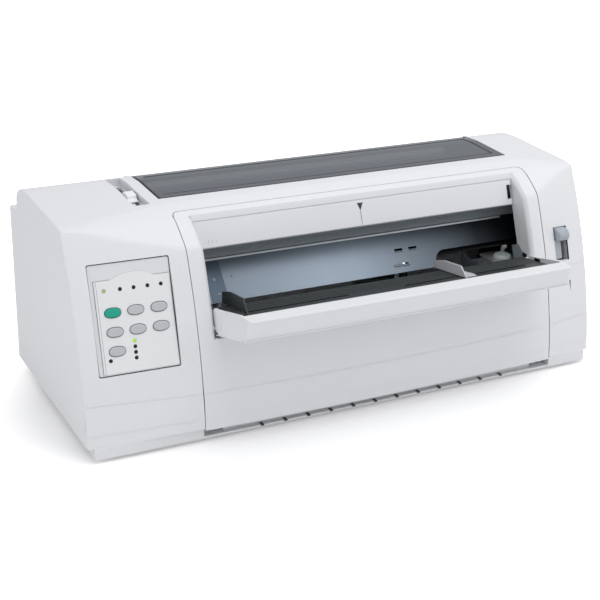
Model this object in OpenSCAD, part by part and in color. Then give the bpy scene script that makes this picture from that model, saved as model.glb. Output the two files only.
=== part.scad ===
// Wide-carriage dot matrix forms printer.
// Millimetres. X runs along the carriage, Y towards the back, Z up.
// The origin lies under the middle of the printer with its sheet tray open.

/* [Body] */
// Overall width over the two end blocks
body_w = 636; // [620:1:650]
// Depth from the front foot line to the rear face
body_d = 270; // [266:1:275]
// Wall thickness of the moulded covers
wall = 3; // [2.5:0.1:3.5]
// How far the front bows forward at mid-width
front_bow = 8.7; // [6:0.1:11]
// Lean of the front at its foot, as a slope
front_lean = 0.06; // [0.03:0.01:0.09]
// Extra lean gained per millimetre of height
front_sweep = 0.00095; // [0.0008:0.00005:0.0011]
// Gap at the seams between covers
seam_gap = 0.5; // [0.3:0.1:0.8]

/* [Front cover] */
// Seam between the left block and the front cover
seam_left = -190; // [-194:1:-186]
// Seam between the front cover and the right block
seam_right = 259; // [255:1:263]
// Left edge of the paper opening
mouth_left = -169.5; // [-172:0.5:-167]
// Right edge of the paper opening, for 16 inch forms
mouth_right = 238.8; // [236:0.2:241]
// Height of the lower panel's top edge
panel_top = 111; // [108:1:112]

/* [Sheet tray] */
// Reach of the open tray in front of the body
tray_reach = 48; // [44:1:52]
// Height of the tray's hinge pins
tray_hinge_z = 120; // [118:1:122]
// Distance of the tray's hinge pins behind the foot line
tray_hinge_y = 30; // [29:1:31]
// Bow of the tray's lip in plan
tray_bow = 3; // [2:0.5:6]

/* [Access window] */
// Front edge of the smoked window
window_front = 129.4; // [127:0.2:132]
// Rear edge of the smoked window
window_back = 220; // [219:0.2:220]
// Thickness of the window's plate
window_t = 4.5; // [4.4:0.1:4.6]

/* [Mechanism] */
// Platen radius
platen_r = 20; // [19:0.5:20]
// Platen axis behind the foot line
platen_y = 150; // [149:1:151]
// Platen axis height
platen_z = 160; // [159:1:160]
// Gear module
gear_m = 1; // [1:1:1]
// Rest position of the carriage along X
carriage_x = 205; // [190:1:206]

/* [Hidden] */

// Colours of the finishes
pale_grey = [0.86, 0.86, 0.88];
mid_grey = [0.72, 0.73, 0.75];
dark_grey = [0.20, 0.22, 0.22];
smoke = [0.38, 0.41, 0.45, 0.75];
zinc = [0.55, 0.60, 0.65];
steel = [0.70, 0.71, 0.72];
black = [0.08, 0.08, 0.09];
board_green = [0.10, 0.35, 0.20];
teal = [0.09, 0.63, 0.53];
button_grey = [0.76, 0.76, 0.78];
nylon = [0.90, 0.89, 0.84];

// The foot line of the front lies this far from the origin
front_y0 = -(body_d - tray_reach) / 2;
half_w = body_w / 2;
casing_foot = 17;
casing_top = 238.7;
tall = 260;
bow_r = half_w * half_w / (2 * front_bow);
bow_half = 3.6;
bow_fn = 1200;
cover_front_seam = 98;
ledge_z = 204;
upper_back = 240;

// Blend between the front and the top: lower, middle and upper lines at the seams
blend_low = [55, 204];
blend_mid = [82, 225];
blend_top = [112, 235.9];
corner = [half_w - 3, 71.5, 232.3];

function front_y(z) = front_lean * z + front_sweep * z * z;
function flat(p, q) = (q[1] - p[1]) / (q[0] - p[0]);

module at_body() { translate([0, front_y0, 0]) children(); }

// A bar along X, from x0 to x1, with the outline given in Y and Z
module along_x(x0, x1, outline) {
    translate([x0, 0, 0]) rotate([90, 0, 90]) linear_extrude(x1 - x0) polygon(outline);
}
module rod_x(x0, x1, y, z, r) { translate([x0, y, z]) rotate([0, 90, 0]) cylinder(h = x1 - x0, r = r, $fn = 48); }
module rod_y(y0, y1, x, z, r) { translate([x, y0, z]) rotate([-90, 0, 0]) cylinder(h = y1 - y0, r = r, $fn = 32); }
module block(x, y, z) { translate([x[0], y[0], z[0]]) cube([x[1] - x[0], y[1] - y[0], z[1] - z[0]]); }

// Everything behind a front that bows in plan and leans back in section
module bowed(r, x_mid, section) {
    translate([x_mid, r, 0]) rotate([0, 0, -90 - bow_half])
        rotate_extrude(angle = 2 * bow_half, $fn = bow_fn)
            polygon([for (p = section) [r - p[0], p[1]]]);
}
module behind_front(inset) {
    bowed(bow_r, 0, concat([for (i = [0:13]) [front_y(i * 20) + inset, i * 20]], [[300, tall], [300, 0]]));
}
function casing_section(t) = [[-30, 0], [-30, 217.7 - t], [70, 232.3 - t], [90.6, 235.3 - t],
    [140, 236.7 - t], [190, casing_top - t], [212, 237.6 - t], [228 - t / 2, 234.4 - t],
    [237 - t, 227.5 - t / 2], [upper_back - t, 219], [upper_back - t, ledge_z - t], [body_d - t, ledge_z - t],
    [body_d - t, 0]];

// The half-space above a plane through three points, lowered by t
module above_plane(a, b, c, t) {
    n = cross(b - a, c - a) / norm(cross(b - a, c - a));
    translate(a - n * t) rotate([0, acos(n[2]), atan2(n[1], n[0])])
        translate([-250, -250, 0]) cube([500, 500, 120]);
}
module end_blend(side, seam, t) {
    o = [side * corner[0], corner[1], corner[2]];
    low = [seam, blend_low[0], blend_low[1]];
    mid = [seam, blend_mid[0], blend_mid[1]];
    top = [seam, blend_top[0], blend_top[1]];
    intersection() {
        block(side < 0 ? [-half_w - 1, seam] : [seam, half_w + 1], [0, 200], [150, tall]);
        union() {
            if (side < 0) { above_plane(o, low, mid, t); above_plane(o, mid, top, t); }
            else { above_plane(o, mid, low, t); above_plane(o, top, mid, t); }
        }
    }
}
module centre_blend(t) {
    low_slope = flat(blend_low, blend_mid);
    along_x(seam_left, seam_right, [[0, blend_low[1] - low_slope * blend_low[0] - t], blend_mid - [0, t],
        blend_top - [0, t], [130, blend_top[1] + 4], [130, tall + 1], [0, tall + 1]]);
}
module casing_solid(t) {
    difference() {
        intersection() {
            behind_front(t);
            along_x(-half_w + t, half_w - t, casing_section(t));
        }
        centre_blend(t);
        end_blend(-1, seam_left, t);
        end_blend(1, seam_right, t);
    }
}

// ---- Covers ----
slot_x = [274, 293.5];
slot_z = [129, 168];
panel_x = [-299, -211];
panel_z = [89, 198.5];
panel_tilt = atan(flat([panel_z[0], front_y(panel_z[0])], [panel_z[1], front_y(panel_z[1])]));
window_x = [seam_left - 0.7, seam_right - 1];
hinge_y = 217.5;
hinge_z = 233.2;
lever_recess = [[-223, -205], [117, 215]];
port_z = [42, 66];
inlet_x = [-270, -238];
switch_x = [-230, -210];
ports_x = [120, 210];

panel_mid = (panel_x[0] + panel_x[1]) / 2;
panel_depth = 4.7;
function bow_y(x) = x * x / (2 * bow_r);
panel_yaw = atan(panel_mid / bow_r);

// Places children in the plane of the operator panel: x across, y up the panel, z out of it
module on_panel() {
    translate([panel_mid, front_y(panel_z[0]) + bow_y(panel_mid) + panel_depth, panel_z[0]])
        rotate([0, 0, panel_yaw]) rotate([90 - panel_tilt, 0, 0]) translate([-panel_mid, 0, 0]) children();
}
panel_len = (panel_z[1] - panel_z[0]) / cos(panel_tilt);

// Outline in Y and Z of a wall that stands behind the front, its depth given
function pillar_wall(deep, top_y, foot) = [[0, foot], [deep, foot], [front_y(80) + deep, 80],
    [front_y(150) + deep, 150], [front_y(200) + deep, 200], [top_y, 216], [top_y, tall], [0, tall]];

module upper_casing() color(pale_grey) at_body() {
    difference() {
        union() {
            difference() {
                casing_solid(0);
                casing_solid(wall);
            }
            intersection() {
                casing_solid(0.2);
                union() {
                    for (x = [seam_left - wall, seam_right])
                        along_x(x, x + wall, pillar_wall(14, cover_front_seam + 4, casing_foot));
                    // Ledge that the window's front edge rests on
                    block([window_x[0] + 2, window_x[1] - 2], [window_front - 3.4, window_front - 0.6], [228.5, 235]);
                    block([window_x[0] + 2, window_x[1] - 2], [window_front - 1, window_front + 3], [228.5, 231.6]);
                    block([window_x[0] - 6, window_x[0] - 0.6], [hinge_y - 5, hinge_y + 6], [228, tall]);
                    block([window_x[1] + 0.6, window_x[1] + 6], [hinge_y - 5, hinge_y + 6], [228, tall]);
                    block([lever_recess[0][0] - 2, lever_recess[0][1] + 2],
                        [lever_recess[1][0] - 2, lever_recess[1][1] + 2], [224, tall]);
                }
            }
        }
        block([seam_left, seam_right], [-10, cover_front_seam], [0, tall + 10]);
        block([-half_w - 1, half_w + 1], [-10, body_d + 1], [-1, casing_foot]);
        block([window_x[0] - 0.6, window_x[1] + 0.6], [window_front - 0.6, window_back + 2.4], [231.6, tall]);
        block([window_x[0] - 0.6, window_x[1] + 0.6], [window_front + 3, window_back + 2.4], [200, tall]);
        rod_x(window_x[0] - 4.2, window_x[0], hinge_y, hinge_z, 1.56);
        rod_x(window_x[1], window_x[1] + 4.2, hinge_y, hinge_z, 1.56);
        block(lever_recess[0], lever_recess[1], [228, tall]);
        block([-212.5, -206.5], [122, 209], [220, tall]);
        block(slot_x, [0, 70], slot_z);
        on_panel() block(panel_x, [0, panel_len], [-12, 30]);
        // Rear paper slot and the recess for the rear cover
        block([-172, 241], [200, 250], [209, 221]);
        block([-286, 286], [body_d - 20, body_d + 5], [24, 196]);
    }
}

module rear_cover() color(pale_grey) at_body() {
    difference() {
        union() {
            block([-285.4, 285.4], [body_d - wall, body_d - 0.2], [24.6, 195.4]);
            for (x = [-286.5, 281.5]) block([x, x + 5], [body_d - wall - 3.5, body_d - wall], [30, 190]);
        }
        for (x = [-276, 276], z = [38, 182]) rod_y(body_d - 1.4, 300, x, z, 3.2);
        for (i = [0:23]) block([-70 + i * 7, -66.5 + i * 7], [200, 300], [120, 165]);
        block(inlet_x, [200, 300], port_z);
        block(switch_x, [200, 300], port_z);
        block(ports_x, [200, 300], port_z);
        for (x = [-276, 276], z = [38, 182]) rod_y(200, 300, x, z, 1.8);
    }
}

front_hinge_y = 14;
front_hinge_z = 20;
front_pin_r = 2;
front_cover_foot = 15;
flap_hinge = [88, 219];
module front_cover() color(pale_grey) at_body() {
    difference() {
        union() {
            difference() {
                intersection() {
                    difference() {
                        casing_solid(0);
                        casing_solid(wall);
                    }
                    block([seam_left + seam_gap, seam_right - seam_gap], [-10, cover_front_seam - seam_gap],
                        [front_cover_foot, tall]);
                }
                block([mouth_left, mouth_right], [-10, 80], [panel_top, tall]);
            }
            // Return walls of the two pillars
            intersection() {
                casing_solid(0.2);
                union() {
                    for (x = [mouth_left - wall, mouth_right])
                        along_x(x, x + wall, pillar_wall(34, 93, 20));
                    block([mouth_left, mouth_right], [0, 34], [panel_top - 6, panel_top - 3]);
                }
            }
            // Hinge ears
            for (x = [seam_left + 8, seam_right - 12]) {
                along_x(x, x + 4, [[front_y(20) + bow_y(x) + 1.5, 17.5], [15, 16.6], [17.4, 20], [15, 23.4],
                    [front_y(34) + bow_y(x) + 2.8, 34], [front_y(34) + bow_y(x) + 1.5, 34]]);
                rod_x(x - 3, x + 7, front_hinge_y, front_hinge_z, front_pin_r);
            }
        }
        for (x = [mouth_left - wall - 1, mouth_right - 1])
            rod_x(x, x + wall + 2, flap_hinge[0], flap_hinge[1], 1.56);
        for (x = [mouth_left - wall - 1, mouth_right - 1])
            rod_x(x, x + wall + 2, tray_hinge_y, tray_hinge_z, tray_pin_r + 0.07);
    }
}

rib_x0 = -66.8;
rib_pitch = 28.3;
pan_x = 311;
module hinge_lug(x) {
    rod_x(x, x + 3, front_hinge_y, front_hinge_z, 3.6);
    along_x(x, x + 3, [[14, 16.4], [19, 5], [30, 5], [26, 17], [19, 23], [14, 23.6]]);
}
module base_pan() color(mid_grey) at_body() {
    difference() {
        union() {
            difference() {
                block([-pan_x, pan_x], [8, 264], [4, 17]);
                block([-pan_x + wall, pan_x - wall], [8 + wall, 264 - wall], [6.5, 30]);
                // The front steps back under the front cover, which swings down into the step
                block([seam_left, seam_right], [0, 20], [6.5, 30]);
            }
            block([seam_left - wall, seam_right + wall], [25, 28], [6, 17]);
            for (x = [seam_left - wall, seam_right]) block([x, x + wall], [8, 28], [6, 17]);
            // Hinge lugs for the front cover
            for (x = [seam_left + 4.5, seam_left + 12.5, seam_right - 15.5, seam_right - 7.5]) hinge_lug(x);
            // Ribs along the front edge
            for (i = [0:9]) block([rib_x0 + rib_pitch * i, rib_x0 + 4 + rib_pitch * i], [18, 26], [6, 14]);
            // Bosses under the side frames
            for (x = [-215, 267], y = [60, 200]) block([x, x + 12], [y, y + 12], [5, 9.95]);
        }
        for (x = [seam_left + 4, seam_right - 16])
            rod_x(x, x + 12, front_hinge_y, front_hinge_z, front_pin_r + 0.06);
        for (i = [0:11]) block([-120 + i * 20, -108 + i * 20], [150, 220], [0, 10]);
    }
}

module feet() color(dark_grey) at_body()
    for (x = [-288, 288], y = [34, 238]) translate([x, y, 0]) {
        cylinder(h = 2, r1 = 9, r2 = 10, $fn = 48);
        translate([0, 0, 2]) cylinder(h = 2, r = 10, $fn = 48);
    }

module access_cover() color(smoke) at_body() {
    difference() {
        union() {
            difference() {
                along_x(window_x[0], window_x[1], [[window_front, 236.4 - window_t], [window_front, 236.4],
                    [190, casing_top], [window_back - 2.6, hinge_z + 3.4], [window_back, hinge_z + 1.4],
                    [window_back, hinge_z - 1], [window_back - 2, hinge_z - 1.6], [190, casing_top - window_t]]);
                // The lens field is thinner than the rim
                along_x(window_x[0] + 10, window_x[1] - 10, [[window_front + 12, 220], [window_front + 12, 236.7 - 2.4],
                    [190, casing_top - 2.4], [window_back - 12, 238.2 - 2.8], [window_back - 12, 220]]);
            }
            for (x = [window_x[0] - 3.6, window_x[1] - 0.4]) rod_x(x, x + 4, hinge_y, hinge_z, 1.5);
        }
        // Finger notch under the front edge
        block([20, 50], [window_front - 1, window_front + 2.5], [230, 234]);
    }
}

module exit_flap() color(pale_grey) at_body() {
    along_x(mouth_left + 1, mouth_right - 1, [[83, 190], [86, 190], [86, 215.5], [90, 217.5], [90, 220.5],
        [87, 221.4], [83, 219]]);
    for (x = [mouth_left - 2, mouth_right - 1.5]) rod_x(x, x + 3.5, flap_hinge[0], flap_hinge[1], 1.5);
}

// ---- Sheet tray, drawn open ----
lip_foot = [2 - tray_reach, 131.5];
lip_top = [-tray_reach, 154];
tray_back = [22, 114.5];
tray_x = [mouth_left + 1, mouth_right - 1];
tray_mid = (tray_x[0] + tray_x[1]) / 2;
tray_half = (tray_x[1] - tray_x[0]) / 2;
tray_r = tray_half * tray_half / (2 * tray_bow);
rim_back = -22;
lip_corner = 5;
lip_end = tray_bow - tray_reach + lip_corner;
module tray_form(t) {
    slope = flat(tray_back, lip_foot);
    intersection() {
        translate([tray_mid, tray_r, 0]) rotate([0, 0, -90 - 7]) rotate_extrude(angle = 14, $fn = 720)
            polygon([[tray_r - lip_foot[0] - t - 4, 90], [tray_r - lip_foot[0] - t, lip_foot[1]],
                [tray_r - lip_top[0] - t, lip_top[1]], [tray_r - lip_top[0] - t + 1, 170], [tray_r - 60, 170],
                [tray_r - 60, 90]]);
        along_x(tray_x[0] + t, tray_x[1] - t, [[tray_back[0], tray_back[1] + t],
            [-80, tray_back[1] + slope * (-80 - tray_back[0]) + t], [-80, lip_top[1] + 0.02],
            [-20, lip_top[1] - t * 0.2], [12, 145 - t], [tray_back[0], 144 - t]]);
        // Rounded ends of the lip in plan
        union() {
            block([tray_x[0] + lip_corner, tray_x[1] - lip_corner], [-70, 40], [90, 170]);
            block([tray_x[0], tray_x[1]], [lip_end, 40], [90, 170]);
            for (x = [tray_x[0] + lip_corner, tray_x[1] - lip_corner])
                translate([x, lip_end, 90]) cylinder(h = 80, r = lip_corner - t, $fn = 48);
        }
    }
}
tray_pin_r = 2.2;
module sheet_tray() color(pale_grey) at_body() {
    difference() {
        tray_form(0);
        difference() {
            tray_form(wall);
            // Solid rim behind the lip
            block([tray_x[0], tray_x[1]], [-60, rim_back], [lip_top[1] - 4, 170]);
        }
        block([tray_x[0] + wall, tray_x[1] - wall], [rim_back, 40], [floor_back[1], 170]);
        block([tray_x[0] + wall, tray_x[1] - wall], [10, 40], [tray_back[1] + 4, 170]);
    }
    for (x = [tray_x[0], tray_x[1] - wall])
        along_x(x, x + wall, [[11, 118], [20, 115.4], [34.6, 116], [35.6, 138], [29, 143], [11, 138.5]]);
    // Tail that closes the gap over the lower panel when the tray is up
    along_x(tray_x[0], tray_x[1], [[20, 115], [34.6, 113.4], [35.4, 116.2], [21, 118]]);
    for (x = [tray_x[0] - 3.6, tray_x[1] - 1]) rod_x(x, x + 4.6, tray_hinge_y, tray_hinge_z, tray_pin_r);
}
floor_front = [-23, 146.8];
floor_back = [44, 136.5];
floor_slope = flat(floor_back, floor_front);
function floor_z(y) = floor_back[1] + floor_slope * (y - floor_back[0]);
module tray_floor() color(dark_grey) at_body() {
    difference() {
        along_x(tray_x[0] + wall + 0.3, tray_x[1] - wall - 0.3, [floor_front - [0, 2.5], floor_front,
            floor_back, floor_back - [0, 2.5]]);
        // Front corners clear of the tray's rounded ends
        for (x = [tray_x[0], tray_x[1] - 10]) block([x, x + 10], [-40, -13], [110, 160]);
        // Slots that the edge guides run in
        block([-158, -20], [6, 10], [110, 150]);
        block([50, 212], [6, 10], [110, 150]);
    }
}
module edge_guide(x, side, height) {
    along_x(x - 0.9, x + 0.9, [[-6, floor_z(-6) + 0.4], [38, floor_z(38) + 0.4], [38, floor_z(38) + height],
        [2, floor_z(2) + height]]);
    along_x(min(x, x + side * 16), max(x, x + side * 16), [[-6, floor_z(-6) + 0.4], [38, floor_z(38) + 0.4],
        [38, floor_z(38) + 2], [-6, floor_z(-6) + 2]]);
    block([x + side * 6 - 3, x + side * 6 + 3], [6.3, 9.7], [floor_z(8) - 5, floor_z(8) + 1.2]);
}
module left_edge_guide() color(dark_grey) at_body() edge_guide(-146, -1, 17);
module right_edge_guide() color(mid_grey) at_body() edge_guide(122, 1, 13);

// ---- Operator panel ----
button_w = 17;
button_h = 10;
button_rows = [64.4, 44.4, 24.6];
button_cols = [-277, -252.6, -227.6];
led_row = [for (x = [-283.7, -266.5, -252, -237.2, -222.7]) [x, 87.6]];
led_column = [for (i = [0:3]) [-257.6, 32.9 - i * 5.85]];
leds = concat(led_row, led_column, [[-285, 15.7]]);
label_arch = [[-275, 97.9], [-267, 101.4], [-258, 103.5], [-250, 104.2], [-242, 103.6], [-236, 102.2], [-230, 97.9]];
module oval(w, h) {
    square([w - h, h], center = true);
    for (s = [-1, 1]) translate([s * (w - h) / 2, 0]) circle(d = h, $fn = 48);
}
module panel_bezel() color(mid_grey) at_body() on_panel() {
    difference() {
        union() {
            block([panel_x[0] + 0.6, panel_x[1] - 0.6], [0.6, panel_len - 0.6], [0, 3]);
            // Raised label field, arched at its top
            block([panel_x[0] + 5.4, panel_x[1] - 1.6], [1.6, 98], [3, 3.8]);
            translate([0, 0, 3]) linear_extrude(0.8) polygon(label_arch);
        }
        for (i = [0:2], j = [0:2]) if (j < 2 || i == 0)
            translate([button_cols[i], button_rows[j], -1]) linear_extrude(10) oval(button_w + 0.6, button_h + 0.6);
        for (p = leds) translate([p[0], p[1], -1]) cylinder(h = 10, r = 1.6, $fn = 24);
    }
}
module led_lenses() color([0.3, 0.8, 0.35]) at_body() on_panel() {
    for (p = leds) translate([p[0], p[1], -3]) cylinder(h = 7.2, r = 1.4, $fn = 24);
}
module button(i, j) {
    at_body() on_panel() translate([button_cols[i], button_rows[j], 0]) {
        translate([0, 0, -2]) linear_extrude(8) oval(button_w, button_h);
        translate([0, 0, -2]) linear_extrude(1.6) oval(button_w + 3, button_h + 3);
    }
}
module start_button() color(teal) button(0, 0);
module load_button() color(button_grey) button(1, 0);
module form_feed_button() color(button_grey) button(2, 0);
module tear_off_button() color(button_grey) button(0, 1);
module line_feed_button() color(button_grey) button(1, 1);
module setup_button() color(button_grey) button(2, 1);
module font_button() color(button_grey) button(0, 2);
module panel_board() color(board_green) at_body() on_panel() {
    block([panel_x[0] + 4, panel_x[1] - 4], [4, panel_len - 6], [-8, -6.4]);
    for (i = [0:2], j = [0:2]) if (j < 2 || i == 0)
        translate([button_cols[i], button_rows[j], -6.4]) cylinder(h = 2, r = 3, $fn = 24);
}

// ---- Levers ----
select_pivot = [78, 165];
module paper_select_lever() color(zinc) at_body() {
    difference() {
        union() {
            along_x(282, 286, [[28, 154], [46, 156], [76, 159], [84, 165], [78, 171], [44, 166], [28, 166]]);
            along_x(276, 291.5, [[24, 154], [31, 152.5], [37, 156], [38, 165], [31, 167], [24, 163]]);
            rod_x(280, 288, select_pivot[0], select_pivot[1], 8);
        }
        rod_x(270, 300, select_pivot[0], select_pivot[1], 3.06);
    }
}
cam_slot = [131.4, 202.6];
cam_slot_r = 6.3;
module thickness_lever() color(pale_grey) at_body() {
    block([-218, -206.8], [147, 166], [229, 235.2]);
    block([-211.5, -207.3], [152, 160], [200.3, 229.1]);
    difference() {
        block([-211.5, -207.3], [118, 216], [178, 200.4]);
        block([-213, -206], cam_slot, [rear_rod[1] - cam_slot_r, rear_rod[1] + cam_slot_r]);
        for (y = cam_slot) rod_x(-213, -206, y, rear_rod[1], cam_slot_r);
    }
}

// ---- Frames and fixed mechanism ----
frame_left = [-204, -202];
frame_right = [267, 269];
frame_outline = [[46, 10], [222, 10], [222, 196], [190, 217], [112, 217], [84, 210], [66, 186], [46, 140]];
shaft_y = 104;
shaft_z = 102;
tractor_rod_at = [92, 80];
rear_rod = [176, 192];
module side_frame(x) {
    difference() {
        union() {
            along_x(x[0], x[1], frame_outline);
            along_x(x[0] < 0 ? x[0] - 10 : x[1] - 0.01, x[0] < 0 ? x[0] + 0.01 : x[1] + 10,
                [[60, 10], [212, 10], [212, 12], [60, 12]]);
        }
        rod_x(x[0] - 1, x[1] + 1, platen_y, platen_z, 8);
        rod_x(x[0] - 1, x[1] + 1, shaft_y, shaft_z, 5.6);
        rod_x(x[0] - 1, x[1] + 1, tractor_rod_at[0], tractor_rod_at[1], 4.02);
        rod_x(x[0] - 1, x[1] + 1, rear_rod[0], rear_rod[1], 6.02);
        for (y = [108, 160]) block([x[0] - 1, x[1] + 1], [y, y + 44], [26, 66]);
    }
}
module left_side_frame() color(zinc) at_body() side_frame(frame_left);
module right_side_frame() color(zinc) at_body() difference() {
    side_frame(frame_right);
    rod_x(260, 275, pinion_at[0], pinion_at[1], 9.6);
}
cross = [frame_left[1] + 0.05, frame_right[0] - 0.05];
module guide_plate() color(zinc) at_body() {
    difference() {
        union() {
            along_x(cross[0], cross[1], [[71, 130], [72, 129.2], [103.4, 164.2], [118, 164.2], [118, 165.6],
                [102.6, 165.6]]);
            for (x = [cross[0], cross[1] - 1.4]) along_x(x, x + 1.4, [[76, 133.9], [103.5, 164.4], [117, 164.4],
                [116, 162], [104, 157.4], [90, 143.8]]);
        }
        // Cut-out over the right tractor
        block([206, 260], [60, 86], [120, 146]);
        for (x = [84, 103]) block([x, x + 11], [80, 100], [150, 152.4]);
        for (x = [78, 89]) block([x, x + 8], [66, 90], [136.4, 138.6]);
    }
}
module cross_bar() color(dark_grey) at_body()
    along_x(cross[0], cross[1], [[103, 167], [108, 167], [111, 180], [109, 183], [106, 183], [101.5, 169]]);
module front_rail() color(steel) at_body()
    along_x(cross[0], cross[1], [[124, 176], [128, 176], [128, 194], [124, 194]]);
module rear_bridge() color(zinc) at_body() difference() {
    union() {
        along_x(cross[0], cross[1], [[184, 179], [220, 179], [220, 181], [184, 181]]);
        along_x(cross[0], cross[1], [[218, 160], [220, 160], [220, 181], [218, 181]]);
        translate([240, 200, 180]) cylinder(h = 20, r = 2, $fn = 32);
    }
    translate([-172, 200, 170]) cylinder(h = 20, r = 9.4, $fn = 48);
}
module lower_guide() color(black) at_body() {
    along_x(cross[0], cross[1], [[86, 138.6], [87, 137.2], [124.6, 162.6], [131, 172.6], [129.6, 173.4],
        [123.6, 164]]);
    for (i = [0:20]) along_x(-180 + i * 21, -178 + i * 21, [[88.4, 137.9], [123.6, 162.2], [120, 148], [100, 138]]);
}
module carriage_rod() color(steel) at_body() rod_x(frame_left[0] - 9, frame_right[1] + 3, rear_rod[0], rear_rod[1], 6);

// ---- Carriage ----
module carriage() color(black) at_body() translate([carriage_x, 0, 0]) {
    difference() {
        union() {
            block([-28, 28], [133, 190.2], [184, 200]);
            block([-16, 16], [122, 134], [194.6, 199]);
            block([-28, 28], [166, 188], [186, 203]);
            block([-10, 10], [189, 190.3], [190, 204]);
        }
        rod_x(-40, 40, rear_rod[0], rear_rod[1], 6.06);
        block([-12, 12], [138, 163], [180, 210]);
    }
}
module print_head() color(dark_grey) at_body() translate([carriage_x, 0, 0]) {
    block([-11.6, 11.6], [138.4, 162.6], [188, 214]);
    block([-4, 4], [146, 154], [181.2, 188]);
    for (i = [0:5]) block([-17, 17], [136, 165], [204.4 + i * 3.2, 206 + i * 3.2]);
}
module ribbon_cartridge() color([0.13, 0.13, 0.14]) at_body() translate([carriage_x, 0, 0]) {
    difference() {
        block([-44, 44], [112, 134.6], [200.2, 216]);
        block([-30, 30], [126, 140], [199, 217]);
    }
    for (s = [-1, 1]) block([s * 37 - 5, s * 37 + 5], [134, 156], [203.6, 212]);
    translate([-30, 122, 216]) cylinder(h = 3, r = 6, $fn = 32);
}

// ---- Carriage drive ----
pulley_x = [-172, 240];
belt_z = 196;
module carriage_motor() color(black) at_body() {
    translate([pulley_x[0], 200, 136]) cylinder(h = 42.6, r = 17, $fn = 64);
    translate([pulley_x[0], 200, 178.6]) cylinder(h = 2.6, r = 9, $fn = 48);
    translate([pulley_x[0], 200, 178.6]) cylinder(h = 24, r = 2, $fn = 32);
}
module pulley() difference() {
    union() {
        for (z = [185, 201]) translate([0, 200, z]) cylinder(h = 1.4, r = 9.6, $fn = 48);
        translate([0, 200, 186]) cylinder(h = 16, r = 7.4, $fn = 48);
    }
    translate([0, 200, 170]) cylinder(h = 60, r = 2.06, $fn = 32);
    block([3.4, 4.6], [199.4, 200.6], [180, 210]);
}
module drive_pulley() color(nylon) at_body() translate([pulley_x[0], 0, 0]) pulley();
module idler_pulley() color(nylon) at_body() translate([pulley_x[1], 0, 0]) pulley();
module carriage_belt() color(black) at_body() {
    for (y = [190.8, 207.8]) block(pulley_x, [y, y + 1.4], [188, 199]);
    for (i = [0, 1]) translate([pulley_x[i], 200, 188]) rotate([0, 0, 90 + 180 * i])
        rotate_extrude(angle = 180, $fn = 64) translate([7.8, 0]) square([1.4, 11]);
}

// ---- Paper feed ----
module platen() color(black) at_body() difference() {
    rod_x(-196, 261, platen_y, platen_z, platen_r);
    rod_x(-200, 270, platen_y, platen_z, 6);
}
module platen_shaft() color(steel) at_body() {
    rod_x(-210, 284, platen_y, platen_z, 5);
    for (x = [-195, 255]) rod_x(x, x + 5, platen_y, platen_z, 5.98);
}
module platen_bearings() color(nylon) at_body() for (x = [frame_left, frame_right]) difference() {
    union() {
        rod_x(x[0] - 1, x[1] + 1, platen_y, platen_z, 7.95);
        rod_x(x[0] < 0 ? x[0] - 2.6 : x[1] + 0.05, x[0] < 0 ? x[0] - 0.05 : x[1] + 2.6, platen_y, platen_z, 10);
    }
    rod_x(x[0] - 5, x[1] + 5, platen_y, platen_z, 5.06);
}
gear_x = [275, 281];
teeth_platen = 48;
teeth_idler = 32;
teeth_tractor = 38;
teeth_pinion = 16;
function pitch_r(n) = gear_m * n / 2;
function mesh_angle(a, b) = atan2(b[1] - a[1], b[0] - a[0]);
platen_at = [platen_y, platen_z];
tractor_at = [shaft_y, shaft_z];
// The idler meshes with both the platen gear and the tractor gear
span = norm(tractor_at - platen_at);
reach_platen = pitch_r(teeth_platen + teeth_idler);
reach_tractor = pitch_r(teeth_tractor + teeth_idler);
idler_along = (reach_platen * reach_platen - reach_tractor * reach_tractor + span * span) / (2 * span);
idler_off = sqrt(reach_platen * reach_platen - idler_along * idler_along);
line = (tractor_at - platen_at) / span;
idler_at = platen_at + line * idler_along + [line[1], -line[0]] * idler_off;
pinion_angle = -30;
pinion_at = idler_at + pitch_r(teeth_idler + teeth_pinion) * [cos(pinion_angle), sin(pinion_angle)];
// A spur gear in the plane of Y and Z, with one tooth at the given angle
module spur(n, bore, hub_r, turn) {
    step = 360 / n;
    root = pitch_r(n) - 1.15 * gear_m;
    tip = pitch_r(n) + 0.75 * gear_m;
    difference() {
        union() {
            linear_extrude(gear_x[1] - gear_x[0]) rotate(turn) polygon([for (i = [0:n - 1], k = [0:3])
                let (a = step * (i + [-0.29, -0.12, 0.12, 0.29][k]), r = (k == 0 || k == 3) ? root : tip)
                    [r * cos(a), r * sin(a)]]);
            cylinder(h = gear_x[1] - gear_x[0] + 2, r = hub_r, $fn = 32);
        }
        translate([0, 0, -5]) cylinder(h = 20, r = bore, $fn = 32);
    }
}
module gear_at(p) {
    translate([gear_x[0], p[0], p[1]]) rotate([90, 0, 90]) children();
}
// Turn of each gear that puts a tooth of one against a gap of its mate
idler_turn = mesh_angle(idler_at, platen_at);
platen_turn = mesh_angle(platen_at, idler_at) + 180 / teeth_platen;
tractor_turn = mesh_angle(tractor_at, idler_at) + 180 / teeth_tractor
    - mate_phase(idler_turn, teeth_idler, mesh_angle(idler_at, tractor_at)) * teeth_idler / teeth_tractor;
pinion_turn = mesh_angle(pinion_at, idler_at) + 180 / teeth_pinion
    - mate_phase(idler_turn, teeth_idler, mesh_angle(idler_at, pinion_at)) * teeth_idler / teeth_pinion;
// How far the nearest tooth stands past the line of centres, in degrees
function mate_phase(turn, n, line) = (turn - line) - round((turn - line) * n / 360) * 360 / n;

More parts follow.
